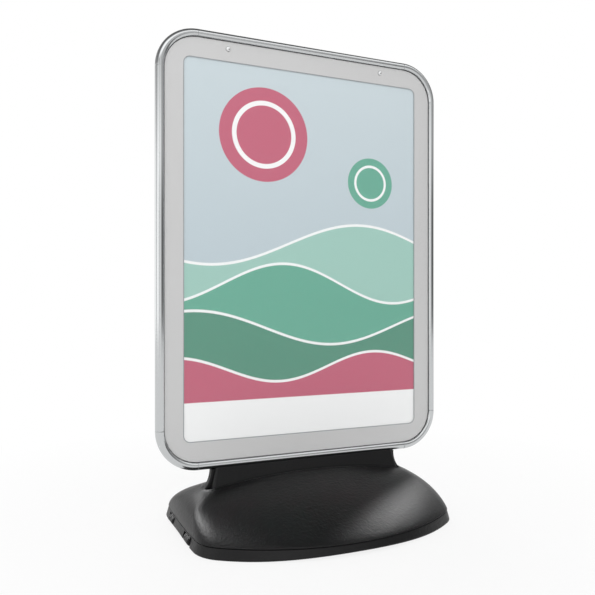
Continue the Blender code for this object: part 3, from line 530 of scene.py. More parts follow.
def rail_path(edge, inward, direction):
    """A straight path: the same inward direction everywhere, and points that step along a direction."""
    def place(along):
        origin = np.asarray(edge) + along[:, None] * np.asarray(direction)
        return origin, np.broadcast_to(np.asarray(inward, dtype=float), origin.shape)
    return place


def bend_path(centre, start_angle):
    """A quarter circle about a corner's centre, in the panel's plane."""
    def place(along):
        angle = start_angle + along / CORNER_RADIUS
        away = np.stack([np.cos(angle), np.zeros_like(angle), np.sin(angle)], axis=1)
        return np.asarray(centre) + CORNER_RADIUS * away, -away
    return place


def make_rim(looks):
    """Four drawn rails and four bent corners, each with eased ends so that the joints show."""
    metal = polished_aluminium(looks)
    # A rail has its node, a point on its outer edge, the ways inwards and along, its start and its end.
    rails = (("top_rail", (0, 0, HIGH), (0, 0, -1), (1, 0, 0), -RAIL_END_X, RAIL_END_X),
             ("bottom_rail", (0, 0, LOW), (0, 0, 1), (1, 0, 0), -RAIL_END_X, RAIL_END_X),
             ("left_rail", (LEFT, 0, 0), (1, 0, 0), (0, 0, 1), RAIL_END_LOW, RAIL_END_HIGH),
             ("right_rail", (RIGHT, 0, 0), (-1, 0, 0), (0, 0, 1), RAIL_END_LOW, RAIL_END_HIGH))
    for node, edge, inward, direction, start, end in rails:
        along, shrink = rounded_stations(looks, start, end, inner=6)
        piece = carried_rim(f"{node}_extrusion", looks, along, shrink, rail_path(edge, inward, direction))
        dress(piece, metal, "base", "rim_aluminium", node)
    sweep = CORNER_RADIUS * math.pi / 2
    bend_x = RIGHT - CORNER_RADIUS
    bend_low, bend_high = LOW + CORNER_RADIUS, HIGH - CORNER_RADIUS
    # A corner has its node, the bend's centre and the angle in degrees at which the bend starts.
    corners = (("top_right_corner", bend_x, bend_high, 0), ("top_left_corner", -bend_x, bend_high, 90),
               ("bottom_left_corner", -bend_x, bend_low, 180), ("bottom_right_corner", bend_x, bend_low, 270))
    for node, x, z, start in corners:
        along, shrink = rounded_stations(looks, 0, sweep, inner=40)
        path = bend_path((x, 0, z), math.radians(start))
        piece = carried_rim(f"{node}_bend", looks, along, shrink, path)
        dress(piece, metal, "base", "rim_aluminium", node)


# Panel and covers

def round_rectangle(half_x, half_z, radius, steps=10):
    """A rectangle with quarter-circle corners about the panel's middle, as (x, z) points."""
    starts = np.radians((0, 90, 180, 270))
    turns = np.linspace(0, math.pi / 2, steps + 1)
    angles = starts[:, None] + turns
    sign_x = np.array((1, -1, -1, 1))[:, None]
    sign_z = np.array((1, 1, -1, -1))[:, None]
    x = sign_x * (half_x - radius) + radius * np.cos(angles)
    z = sign_z * (half_z - radius) + radius * np.sin(angles)
    return np.stack([x.ravel(), z.ravel()], axis=1)


def carried_ring(name, outline, section):
    """Carry a closed section of (outwards, y) points round an outline in the panel's plane."""
    middle = np.array(((LEFT + RIGHT) / 2, (LOW + HIGH) / 2))
    rings = [np.column_stack([offset(outline, -out) + middle, np.full(len(outline), y)])
             for out, y in section]
    points = np.stack(rings)[:, :, (0, 2, 1)]
    return surface(name, points, caps=False)


def make_covers(looks):
    """Clear sheets, silver borders and the thin line round each window, which also paints the shade at the
    window's edge.
    """
    paint(clear_sheet(looks), "front_cover_sheet", "rear_cover_sheet")
    paint(silver_ink(looks), "front_cover_border", "rear_cover_border")
    line = keyline_and_shade_ink(looks)
    window = round_rectangle(HALF_WIDTH - looks.window_side, HALF_HEIGHT - looks.window_end,
                             looks.window_radius)
    back = BORDER_FACE + looks.film_gap
    front = COVER_BACK - looks.film_gap
    for label, side in FACES.items():
        film = ((0, side * back), (looks.keyline_width, side * back), (looks.keyline_width, side * front),
                (0, side * front))
        # The window line is printed grey and also paints the shade that falls into the window's recessed
        # edge.
        piece = carried_ring(f"{label}_window_line_and_shade", window, film)
        dress(piece, line, f"{label}_cover", "silver_border")


def make_seals_and_painted_shade(looks):
    """The grey seals inside the rim, coloured dark to paint the shade in the gap between rim and cover:
    strips whose outer edge is a half circle.
    """
    # The seal's grey also paints the shade that falls into the gap between the rim and the cover.
    rubber = dull_moulding("grey_epdm_seal", "#4C4D4E", 0.9 * MILLIMETRE)
    inner = round_rectangle(HALF_WIDTH - RIM_FACE, HALF_HEIGHT - RIM_FACE, CORNER_RADIUS - RIM_FACE,
                            steps=20)
    root = STEEL_FACE + looks.slot_gap
    round_start = RIM_DEPTH / 2 - looks.seal_drop
    radius = looks.seal_width / 2
    cos, sin = arc(0, math.pi, steps=6)
    crown = np.stack([-radius * (1 - cos), round_start + radius * sin], axis=1)
    bead = np.concatenate([[(0, root)], crown, [(-looks.seal_width, root)]])
    for label, side in FACES.items():
        piece = carried_ring(f"{label}_rim_seal_and_painted_shade", inner, bead * (1, side))
        dress(piece, rubber, "base", "gasket_rubber")


def make_panel():
    """Board, steel faces and magnets: CAD nodes with their finishes."""
    paint(foam_board(), "core_board")
    paint(galvanised_sheet(), "front_steel_sheet", "rear_steel_sheet")
    edges = ("top", "bottom", "left", "right")
    paint(dull_moulding("bonded_ferrite", "#2A2523", 1.2 * MILLIMETRE),
          *(f"{label}_magnet_{edge}" for label in FACES for edge in edges))


def make_fixings(looks):
    """Anchor bar, bolts, washers, axle pins and the filler's gasket: CAD nodes with their finishes."""
    paint(plated_steel("zinc_plated_steel", looks.fixing, looks.fixing_gloss), "anchor_bar",
          *(f"{hand}_{piece}" for hand in HANDS for piece in ("bolt", "washer")),
          *(f"{label}_axle_pin" for label in FACES))
    paint(dull_moulding("nitrile_rubber", "#1B1B1B", 1.5 * MILLIMETRE), "filler_gasket")


def make_studs(looks):
    """The studs that the covers hang on: straight shanks with quarter-ellipse domes, turned."""
    nickel = plated_steel("nickelled_steel", looks.stud, looks.stud_gloss)
    cos, sin = arc(0, math.pi / 2, steps=10)
    for label, side in FACES.items():
        for hand in HANDS:
            node = f"{label}_{hand}_stud"
            low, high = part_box(node)
            radius = (high[0] - low[0]) / 2
            tip = high[1] if side > 0 else -low[1]
            dome = np.stack([radius * cos, tip - looks.stud_dome * (1 - sin)], axis=1)
            profile = np.concatenate([[(radius, STEEL_FACE + looks.stud_gap)], dome])
            place = outward((0, side, 0), ((low[0] + high[0]) / 2, 0, (low[2] + high[2]) / 2))
            piece = turned(f"{node}_head", profile, place, steps=48)
            dress(piece, nickel, "base", "plated_steel", node)


def make_posters(looks):
    """The two printed sheets."""
    paint(printed_poster(looks), "front_poster", "rear_poster")


# Base

def plan_outline(plan):
    """Points of a plan whose four sides are arcs, moved outwards by its corner radius."""
    core_x = plan.half_length - plan.corner
    core_y = plan.half_depth - plan.corner
    end_x = core_x - plan.end_bow
    end_y = core_y - plan.side_bow
    side_radius = (end_x ** 2 + plan.side_bow ** 2) / (2 * plan.side_bow)
    end_radius = (end_y ** 2 + plan.end_bow ** 2) / (2 * plan.end_bow)
    lean = math.asin(end_x / side_radius)
    slew = math.asin(end_y / end_radius)
    square = math.pi / 2
    # A run is an arc: its centre, radius, first and last angle, and steps.
    runs = ((core_x - end_radius, 0, end_radius, -slew, slew, 20),
            (end_x, end_y, 0, slew, square - lean, 14),
            (0, core_y - side_radius, side_radius, square - lean, square + lean, 60),
            (-end_x, end_y, 0, square + lean, math.pi - slew, 14))
    parts = []
    for x, y, radius, start, end, steps in runs:
        cos, sin = arc(start, end, steps)
        reach = radius + plan.corner
        parts.append(np.stack([x + reach * cos[:-1], y + reach * sin[:-1]], axis=1))
    half = np.concatenate(parts)
    return np.concatenate([half, -half])


def shrink_plan(plan, distance):
    """The same plan, smaller all round."""
    return plan._replace(half_length=plan.half_length - distance, half_depth=plan.half_depth - distance,
                         corner=plan.corner - distance)


def mix_plans(first, second, share):
    """A plan part of the way from one to another."""
    return Plan(*(a + (b - a) * share for a, b in zip(first, second)))


def base_plans(looks):
    """The base's outer plan, the dome's lower edge and the crest."""
    outer = Plan(TRAY_HIGH[0], TRAY_HIGH[1], looks.side_bow, looks.end_bow, looks.base_corner)
    crest = Plan(looks.crest_length / 2, looks.crest_depth / 2, looks.crest_bow, looks.crest_end_bow,
                 looks.crest_corner)
    return outer, shrink_plan(outer, looks.skirt_lean), crest


def ring_at(plan, height):
    """A plan's points at one height, or at a height for each point."""
    outline = plan_outline(plan)
    return np.column_stack([outline, np.broadcast_to(height, len(outline))])


def crest_height(looks, share):
    """The dome's top edge: a parabola that falls away to both ends."""
    return looks.crest_height - looks.crest_drop * share ** 2


def dome_rings(looks, edge, crest):
    """Rings between the dome's edge and its crest: plans mix evenly but for their ends, which draw in later
    by a power, and height rises by a power law with a rounded shoulder."""
    start = SHELL_LOW[2] + looks.seam_slope
    # Twelve rings crowd towards the edge, and the rest are evenly spaced.
    close = np.linspace(0, CLOSE_RINGS, 13)[:-1] ** 1.5 * CLOSE_RINGS ** -0.5
    shares = np.concatenate([close, np.linspace(CLOSE_RINGS, 1, 34)])
    rings = []
    for share in shares:
        plan = mix_plans(edge, crest, share)
        reach = edge.half_length + (crest.half_length - edge.half_length) * share ** looks.end_fullness
        plan = plan._replace(half_length=reach)
        ring = ring_at(plan, start)
        rise = (1 - (1 - share) ** looks.dome_power) ** (1 / looks.dome_shoulder)
        ring[:, 2] += (crest_height(looks, ring[:, 0] / plan.half_length) - start) * rise
        rings.append(ring)
    return rings


def crest_rings(looks, crest):
    """Rings over the bead, half a sine wave, and down the crease inside it."""
    rings = []
    # The first ring lies just inside the dome's last one.
    for share in np.linspace(0.06, 1, 16):
        ring = ring_at(shrink_plan(crest, looks.bead_width * share), 0)
        swell = looks.bead_rise * math.sin(math.pi * min(share / SWELL_END, 1))
        crease = looks.bead_crease * max(share - CREASE_START, 0) / (1 - CREASE_START)
        ring[:, 2] = crest_height(looks, ring[:, 0] / crest.half_length) + swell - crease
        rings.append(ring)
    return rings


def upstand_rings(looks, crest):
    """Rings up the upstand: a fillet at its foot, straight tapered walls and a rounded top edge."""
    top = Plan(looks.upstand_length / 2, looks.upstand_depth / 2, looks.upstand_bow, looks.upstand_bow,
               looks.upstand_corner)
    foot = top._replace(half_length=top.half_length + looks.upstand_flare,
                        half_depth=looks.upstand_foot / 2)
    rings = []
    cos, sin = arc(0, math.pi / 2, steps=6)
    for out, up in zip(looks.fillet * (1 - sin), looks.fillet * (1 - cos)):
        ring = ring_at(shrink_plan(foot, -out), 0)
        ring[:, 2] = crest_height(looks, ring[:, 0] / crest.half_length) - looks.bead_crease + up
        rings.append(ring)
    for inward, down in zip(looks.top_round * (1 - cos), looks.top_round * (1 - sin)):
        rings.append(ring_at(shrink_plan(top, inward), SHELL_HIGH[2] - down))
    return rings


def seam_rings(looks, edge):
    """The shell's lower edge, rounded into the seam in two straight steps, the first one flatter."""
    inner = shrink_plan(edge, looks.seam_depth)
    middle = shrink_plan(edge, looks.seam_depth * SEAM_LEFT)
    return [ring_at(inner, SHELL_LOW[2]), ring_at(middle, SHELL_LOW[2] + looks.seam_slope * SEAM_UP)]


def flared_web(looks):
    """The web under the panel: a side view with concave flares, carried across its thickness with rounded
    edges."""
    half = looks.web_length / 2
    cos, sin = arc(0, math.pi / 2, steps=24)
    flare = np.stack([half + looks.web_flare * (1 - cos), LOW - looks.web_height * sin], axis=1)
    root = np.array([[half + looks.web_flare, LOW - looks.web_height - looks.web_root]])
    right = np.concatenate([flare, root])
    outline = np.concatenate([right, right[::-1] * (-1, 1)])[::-1]
    cos, sin = arc(0, math.pi / 2, steps=5)
    inset = looks.web_round * (1 - cos)
    across = looks.web_thickness / 2 - looks.web_round * (1 - sin)
    inset = np.concatenate([inset[::-1], inset])
    across = np.concatenate([-across[::-1], across])
    rings = [np.column_stack([offset(outline, amount), np.full(len(outline), y)])[:, (0, 2, 1)]
             for amount, y in zip(inset, across)]
    return surface("upstand_web", np.stack(rings))


def bar(name, outline, along, start, end):
    """A straight bar: an outline of points in a plane, carried between two places along the x or y axis."""
    order = {"x": (2, 0, 1), "y": (0, 2, 1)}[along]
    rings = [np.column_stack([outline, np.full(len(outline), at)])[:, order] for at in (start, end)]
    return surface(name, np.stack(rings))


def filler_place():
    """The filler's placement: its Z axis along the cap's joint."""
    joint = JOINTS["filler_cap_turn"]
    return outward(joint["axis"], joint["pos_m"])


def wheel_recess(looks, joint_name):
    """An arched pocket round a wheel, open downwards and to the end of the base."""
    x, y, z = JOINTS[joint_name]["pos_m"]
    radius = looks.wheel_diameter / 2 + looks.wheel_gap
    cos, sin = arc(0, math.pi, steps=24)
    roof = np.stack([x + radius * cos, z + radius * sin], axis=1)
    past = x - looks.wheel_diameter
    floor = np.array([[past, z], [past, z - looks.wheel_diameter], [x + radius, z - looks.wheel_diameter]])
    half = looks.wheel_width / 2 + looks.wheel_side_gap
    return bar("wheel_recess", np.concatenate([roof, floor]), "y", y - half, y + half)


def cut_wheel_recesses(piece, looks):
    """Cut both wheel recesses out of a piece."""
    for joint_name in ("front_wheel_roll", "rear_wheel_roll"):
        combine(piece, wheel_recess(looks, joint_name), "DIFFERENCE")


def base_plastic(looks):
    """The base's plastic, made once and shared by both mouldings and the cap."""
    if not looks.finish:
        looks.finish = grained_polyethylene(looks)
    return looks.finish


def make_shell(looks):
    """The upper moulding: seam, dome, bead and upstand in one skin, with web, neck, seat and slots."""
    edge, crest = base_plans(looks)[1:]
    rings = seam_rings(looks, edge) + dome_rings(looks, edge, crest) + crest_rings(looks, crest)
    shell = surface("base_shell_moulding", np.stack(rings + upstand_rings(looks, crest)))
    combine(shell, flared_web(looks), "UNION")
    add_filler_neck(shell, looks)
    half = RIM_DEPTH / 2 + looks.seat_gap
    rise = looks.seat_nose + looks.seat_gap
    cos, sin = arc(0, 2 * math.pi, steps=48)
    seat = np.stack([half * cos[:-1], LOW + rise * (1 + sin[:-1]) - looks.seat_gap], axis=1)
    combine(shell, bar("rim_seat", seat, "x", -looks.crest_length, looks.crest_length), "DIFFERENCE")
    slot, slot_low = looks.slot_width / 2, LOW - looks.slot_height
    opening = np.array([(-slot, slot_low), (slot, slot_low), (slot, HIGH), (-slot, HIGH)])
    for sign in (-1, 1):
        ends = sorted((sign * (looks.web_length / 2 - looks.slot_depth), sign * looks.crest_length))
        combine(shell, bar("end_slot", opening, "x", *ends), "DIFFERENCE")
    cut_wheel_recesses(shell, looks)
    dress(shell, base_plastic(looks), "base", "base_plastic", "base_shell")


def add_filler_neck(shell, looks):
    """Join the filler's neck, a tube with a quarter-circle lip, to the shell and open its mouth."""
    radius, lip = looks.neck_diameter / 2, looks.neck_lip
    cos, sin = arc(0, math.pi / 2, steps=5)
    edge_round = np.stack([radius - lip * (1 - cos), looks.neck_height - lip * (1 - sin)], axis=1)
    profile = np.concatenate([[(radius, -looks.neck_root)], edge_round])
    combine(shell, turned("filler_neck", profile, filler_place(), steps=64), "UNION")
    mouth = looks.mouth_diameter / 2
    # The cutter reaches past both ends of the neck.
    profile = [(mouth, -2 * looks.neck_root), (mouth, 2 * looks.neck_height)]
    combine(shell, turned("filler_mouth", profile, filler_place(), steps=64), "DIFFERENCE")


def arch_lift(looks, outline):
    """How far the lower edge rises between the feet: a raised cosine along each side and end."""
    side = np.clip(2 * outline[:, 0] / looks.side_arch_span, -1, 1)
    end = np.clip(2 * outline[:, 1] / looks.end_arch_span, -1, 1)
    along_sides = looks.side_arch * (1 + np.cos(math.pi * side))
    along_ends = looks.end_arch * (1 + np.cos(math.pi * end))
    return (along_sides + along_ends) / 2


def make_tray(looks):
    """The lower moulding: four feet, arched edges, a rounded lower rim, the skirt and half of the seam."""
    outer, edge = base_plans(looks)[:2]
    lift = arch_lift(looks, plan_outline(outer))
    foot = shrink_plan(outer, looks.foot_width)._replace(corner=looks.foot_corner)
    rings = [ring_at(shrink_plan(foot, looks.foot_slope), looks.underside), ring_at(foot, lift)]
    cos, sin = arc(0, math.pi / 2, steps=6)
    rings += [ring_at(shrink_plan(outer, looks.edge_round * (1 - s)), lift + looks.edge_round * (1 - c))
              for c, s in zip(cos, sin)]
    top = TRAY_HIGH[2]
    # The skirt leans in evenly as it rises from its rounded edge to the seam.
    skirt_foot = lift + looks.edge_round
    rings += [ring_at(shrink_plan(edge, looks.skirt_lean * (share - 1)),
                      skirt_foot + share * (top - looks.seam_slope - lift - looks.edge_round))
              for share in np.linspace(0.15, 1, 8)]
    rings += [ring_at(shrink_plan(edge, looks.seam_depth * SEAM_LEFT), top - looks.seam_slope * SEAM_UP),
              ring_at(shrink_plan(edge, looks.seam_depth), top)]
    tray = surface("base_tray_moulding", np.stack(rings))
    pocket = looks.pocket_diameter / 2
    for hand in HANDS:
        low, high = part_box(f"{hand}_bolt")
        place = Matrix.Translation(((low[0] + high[0]) / 2, 0, 0))
        profile = [(pocket, -top), (pocket, low[2] + looks.edge_round)]
        combine(tray, turned("bolt_pocket", profile, place, steps=40), "DIFFERENCE")
    cut_wheel_recesses(tray, looks)
    dress(tray, base_plastic(looks), "base", "base_plastic", "base_tray")


def make_cap(looks):
    """The filler cap: a cup whose wall waves with grips, which fade out over its rounded top edge."""
    bore = looks.neck_diameter / 2 + looks.cap_gap
    wall = bore + looks.cap_wall
    start = looks.cap_start
    top = start + looks.cap_height
    # Profile points are (radius, height, share of the grips' depth).
    cos, sin = arc(0, math.pi / 2, steps=8)
    edge_radius = wall - looks.cap_round * (1 - cos)
    edge_height = top - looks.cap_round * (1 - sin)
    edge_round = np.stack([edge_radius, edge_height, cos], axis=1)
    inner = [(bore, top - looks.cap_top, 0), (bore, start, 0)]
    dish = [(wall * DISH_EDGE, top, 0), (wall * DISH_FLOOR, top - looks.cap_dish, 0)]
    profile = np.concatenate([inner, [(wall, start, 1)], edge_round, dish])
    angles = np.linspace(0, 2 * math.pi, GRIP_POINTS * looks.cap_grips, endpoint=False)
    radius = profile[:, :1] + looks.grip_depth * profile[:, 2:] * np.cos(looks.cap_grips * angles)
    local = np.stack([radius * np.cos(angles), radius * np.sin(angles),
                      np.broadcast_to(profile[:, 1:2], radius.shape)], axis=-1)
    place = filler_place()
    piece = surface("filler_cap_moulding", local @ np.array(place.to_3x3()).T + np.array(place.translation))
    dress(piece, base_plastic(looks), "filler_cap", "base_plastic", "filler_cap")


def make_wheels(looks):
    """Two wheels: quarter-circle tread edges and dished hubs, turned about their axles."""
    nylon = dull_moulding("black_nylon", "#0D0D0E", 1.5 * MILLIMETRE)
    half = looks.wheel_width / 2
    rim = looks.wheel_diameter / 2
    bore = looks.axle_diameter / 2 + looks.seat_gap
    hub = rim - looks.tyre_round - looks.hub_dish
    floor = half - looks.hub_dish
    cos, sin = arc(0, math.pi / 2, steps=10)
    tread = np.stack([rim - looks.tyre_round * (1 - sin), half - looks.tyre_round * (1 - cos)], axis=1)
    upper = np.concatenate([[(bore, floor), (hub, floor), (hub + looks.hub_dish / 2, half)], tread])
    profile = np.concatenate([upper, upper[::-1] * (1, -1)])
    for label in FACES:
        place = outward((0, 1, 0), JOINTS[f"{label}_wheel_roll"]["pos_m"])
        piece = turned(f"{label}_wheel_moulding", profile, place, steps=72, closed=True)
        dress(piece, nylon, f"{label}_wheel", "wheel_plastic", f"{label}_wheel")


# Stage

# Stops of the tent's greys, as (place, grey). Places round it are in degrees: 0 in front, 90 on the left,
# 180 behind and 270 on the right. Upward places run from 0 at the floor to 90 overhead.
TENT_WALLS = ((0, 0.40), (8, 0.45), (14, 1.0), (30, 1.0), (36, 0.3), (50, 0.3), (58, 1.0), (98, 1.0),
              (104, 0.3), (114, 0.3), (120, 1.0), (146, 1.0), (156, 0.4), (200, 0.4), (212, 0.75),
              (244, 0.75), (254, 0.3), (284, 0.3), (292, 0.08), (326, 0.08), (342, 0.32), (360, 0.40))
TENT_ROOF = ((0, 1.0), (16, 0.9), (28, 0.3), (50, 0.16), (90, 0.12))
# Bright windows, one behind on the left and one behind on the right
WINDOWS_AROUND = ((0, 0.0), (120, 0.0), (128, 0.75), (166, 0.75), (174, 0.0), (226, 0.0), (231, 1.0),
                  (240, 1.0), (245, 0.0), (360, 0.0))
WINDOWS_UPWARD = ((0, 0.0), (35, 0.0), (43, 1.0), (62, 1.0), (69, 0.0), (90, 0.0))
# A pale card high in front
FRONT_AROUND = ((0, 1.0), (60, 1.0), (80, 0.0), (275, 0.0), (300, 1.0), (360, 1.0))
FRONT_UPWARD = ((0, 0.0), (12, 0.0), (18, 0.8), (32, 0.8), (38, 2.6), (58, 2.6), (66, 0.4), (90, 0.3))
# The tent's lowest and highest rings, in degrees above the floor
TENT_FOOT, TENT_TOP = -4, 88
# Rings of the floor in metres from its middle, and its thickness
FLOOR_RINGS = (0.01, 1.0, 3.0)
FLOOR_THICKNESS = 0.05
# How far the camera sees, in metres
CAMERA_REACH = 100


def seen_as_background(tree):
    """1 for rays from the camera and for mirror and glass rays, else 0."""
    path = add_node(tree, "ShaderNodeLightPath").outputs
    first = add_node(tree, "ShaderNodeMath", {0: path["Is Camera Ray"], 1: path["Is Glossy Ray"]},
                     operation="MAXIMUM")
    return add_node(tree, "ShaderNodeMath", {0: first.outputs[0], 1: path["Is Transmission Ray"]},
                    operation="MAXIMUM").outputs[0]


def backdrop_floor(looks):
    """A pale floor that takes the object's shadow near it and is plain white further out."""
    flat = [(reach, 0) for reach in (*FLOOR_RINGS, looks.floor_radius)]
    below = [(looks.floor_radius, -FLOOR_THICKNESS), (FLOOR_RINGS[0], -FLOOR_THICKNESS)]
    floor = turned("studio_floor", flat + below, Matrix(), steps=96)
    material, tree = empty_material("white_studio_floor")
    place = add_node(tree, "ShaderNodeTexCoord").outputs["Object"]
    reach = add_node(tree, "ShaderNodeVectorMath", {0: place}, operation="LENGTH").outputs["Value"]
    fade = add_node(tree, "ShaderNodeMapRange", {
        "Value": reach, "From Min": looks.fade_start, "From Max": looks.fade_end,
        "To Min": looks.floor_white, "To Max": 1.0})
    share = add_node(tree, "ShaderNodeMath", {0: seen_as_background(tree), 1: fade.outputs["Result"]},
                     operation="MULTIPLY")
    matt = add_node(tree, "ShaderNodeBsdfDiffuse", {"Color": linear("#F2F2F2")})
    glow = add_node(tree, "ShaderNodeEmission", {"Color": linear("#FFFFFF"), "Strength": 1.0})
    mixed = add_node(tree, "ShaderNodeMixShader", {
        0: share.outputs[0], 1: matt.outputs[0], 2: glow.outputs[0]})
    add_node(tree, "ShaderNodeOutputMaterial", {"Surface": mixed.outputs[0]})
    floor.data.materials.append(material)


def fill_ramp(ramp, stops, span):
    """Set a ramp's stops from (place, grey) pairs, with places up to a span."""
    while len(ramp.elements) > 1:
        ramp.elements.remove(ramp.elements[-1])
    for count, (place, grey) in enumerate(stops):
        stop = ramp.elements.new(place / span) if count else ramp.elements[0]
        stop.position = place / span
        stop.color = (grey, grey, grey, 1.0)


def studio_surround(looks):
    """A tent that only mirror rays see: white walls behind, greyer cards and gaps in front and overhead."""
    tilt = np.radians(np.linspace(TENT_FOOT, TENT_TOP, 24))
    profile = looks.tent_radius * np.stack([np.cos(tilt), np.sin(tilt)], axis=1)
    tent = turned("studio_tent", profile, Matrix(), steps=96)
    material, tree = empty_material("white_tent_cloth")
    place = add_node(tree, "ShaderNodeTexCoord").outputs["Object"]
    axis = add_node(tree, "ShaderNodeSeparateXYZ", {"Vector": place})
    heading = add_node(tree, "ShaderNodeMath", {0: axis.outputs["X"], 1: axis.outputs["Y"]},
                       operation="ARCTAN2")
    turn = add_node(tree, "ShaderNodeMapRange", {"Value": heading.outputs[0], "From Min": -math.pi,
                                                 "From Max": math.pi})
    height = add_node(tree, "ShaderNodeMath", {0: axis.outputs["Z"], 1: looks.tent_radius},
                      operation="DIVIDE")
    slope = add_node(tree, "ShaderNodeMath", {0: height.outputs[0]}, operation="ARCSINE")
    rise = add_node(tree, "ShaderNodeMapRange", {"Value": slope.outputs[0], "From Max": math.pi / 2})
    # Flags keep the windows off the panel's metal: rays from higher up are shorter and see none.
    reach = add_node(tree, "ShaderNodeLightPath").outputs["Ray Length"]
    flagged = add_node(tree, "ShaderNodeMapRange", {
        "Value": reach, "From Min": looks.tent_radius - looks.flag_high,
        "From Max": looks.tent_radius - looks.flag_low, "To Max": looks.windows})
    layers = []
    for around, upward, strength in ((TENT_WALLS, TENT_ROOF, looks.walls),
                                     (FRONT_AROUND, FRONT_UPWARD, looks.front_card),
                                     (WINDOWS_AROUND, WINDOWS_UPWARD, flagged.outputs["Result"])):
        across = add_node(tree, "ShaderNodeValToRGB", {"Fac": turn.outputs["Result"]})
        fill_ramp(across.color_ramp, around, 360)
        above = add_node(tree, "ShaderNodeValToRGB", {"Fac": rise.outputs["Result"]})
        fill_ramp(above.color_ramp, upward, 90)
        both = add_node(tree, "ShaderNodeMix", {
            "Factor": 1.0, 6: across.outputs["Color"], 7: above.outputs["Color"]},
            data_type="RGBA", blend_type="MULTIPLY")
        layers.append(add_node(tree, "ShaderNodeEmission", {"Color": both.outputs[2], "Strength": strength}))
    glow = layers[0]
    for layer in layers[1:]:
        glow = add_node(tree, "ShaderNodeAddShader", {0: glow.outputs[0], 1: layer.outputs[0]})
    add_node(tree, "ShaderNodeOutputMaterial", {"Surface": glow.outputs[0]})
    tent.data.materials.append(material)
    tent.visible_camera = False
    tent.visible_diffuse = False
    tent.visible_shadow = False
    tent.visible_transmission = False


def white_world(looks):
    """Even light on everything, and plain white where the camera looks past the object."""
    world = bpy.data.worlds.new("white_studio")
    world.use_nodes = True
    tree = world.node_tree
    back = tree.nodes["Background"]
    back.inputs["Color"].default_value = linear("#FFFFFF")
    strength = add_node(tree, "ShaderNodeMapRange", {"Value": seen_as_background(tree),
                                                     "To Min": looks.fill_light, "To Max": 1.0})
    tree.links.new(strength.outputs["Result"], back.inputs["Strength"])
    bpy.context.scene.world = world


def softbox(name, location, power, looks):
    """A square area lamp that faces the sign."""
    data = bpy.data.lights.new(name, "AREA")
    data.shape = "RECTANGLE"
    data.size = data.size_y = looks.lamp_size
    data.energy = power
    lamp = bpy.data.objects.new(name, data)
    lamp.location = location
    lamp.visible_glossy = False
    lamp.rotation_euler = (Vector(looks.lamp_aim) - Vector(location)).to_track_quat("-Z", "Y").to_euler()
    bpy.context.scene.collection.objects.link(lamp)


def add_camera(looks):
    """A level camera at the photograph's place, its view set by a focal length in photograph pixels."""
    data = bpy.data.cameras.new("photo_camera")
    data.sensor_width = looks.sensor
    data.lens = looks.focal_pixels / PHOTO_SIZE * looks.sensor
    data.shift_x = looks.shift_pixels[0] / PHOTO_SIZE
    data.shift_y = looks.shift_pixels[1] / PHOTO_SIZE
    data.clip_end = CAMERA_REACH
    camera = bpy.data.objects.new("photo_camera", data)
    camera.location = looks.camera_place
    camera.rotation_euler = (math.pi / 2, 0, -looks.camera_turn)
    bpy.context.scene.collection.objects.link(camera)
    bpy.context.scene.camera = camera


# Settings that a user can change

class SignRimLooks(bpy.types.PropertyGroup):
    """Sizes and finish of the rim"""
    nose: length("Nose", 0.010, "How far the rounded outer part of the section reaches inwards")
    lip: length("Shoulder", 0.0070, "Width of the section's inner shoulders")
    lip_fall: length("Shoulder fall", 0.0045, "How far each shoulder falls away towards the panel")
    slot_gap: length("Slot gap", 0.0003, "Clearance between the panel and its slot")
    slot_floor: length("Slot floor", 0.004, "Thickness of the section behind the slot")
    end_round: length("End rounding", 0.0007, "Rounding at the ends of rails and bends")
    gloss: fraction("Roughness", 0.13, "Roughness of the metal")
    metal: colour("Metal", "#C5C7C8", "Colour of the metal")


class SignCoverLooks(bpy.types.PropertyGroup):
    """Sizes and finish of covers, seals, studs and fixings"""
    window_side: length("Window side", 0.060, "From the rim's outer edge to the window, at the sides")
    window_end: length("Window end", 0.0625, "From the rim's outer edge to the window, at top and bottom")
    window_radius: length("Window radius", 0.014, "Corner radius of the window")
    keyline_width: length("Window line", 0.0017, "Width of the line printed round the window")
    film_gap: length("Film gap", 0.00008, "Clearance on both sides of the printed line")
    # The seal strip also paints the shade in the gap between the rim and the cover.
    seal_width: length("Seal width", 0.0009, "How far the grey seal stands out from the rim")
    seal_drop: length("Seal drop", 0.0050, "How far the seal stays behind the rim's face")
    slot_gap: length("Seat gap", 0.0003, "Clearance between the seal and the steel sheet")
    stud_dome: length("Stud dome", 0.0022, "Height of a stud's rounded end")
    stud_gap: length("Stud gap", 0.0003, "Clearance under a stud's head")
    cover_gloss: fraction("Cover roughness", 0.12, "Roughness of the sheet")
    cover_haze: fraction("Cover haze", 0.05, "How much of the sheet is seen")
    border_light: colour("Border, light", "#D2D2D2", "Lighter silver of the border's flake")
    border_dark: colour("Border, dark", "#C6C6C6", "Darker silver of the border's flake")
    # The window line's colour also paints the shade at the window's recessed edge.
    keyline: colour("Window line", "#7E858B", "Colour of the line round the window")
    fixing: colour("Fixings", "#C3C6C8", "Colour of the zinc plating")
    fixing_gloss: fraction("Fixing roughness", 0.32, "Roughness of the zinc plating")
    stud: colour("Studs", "#E6E7E8", "Colour of the nickel plating")
    stud_gloss: fraction("Stud roughness", 0.16, "Roughness of the nickel plating")


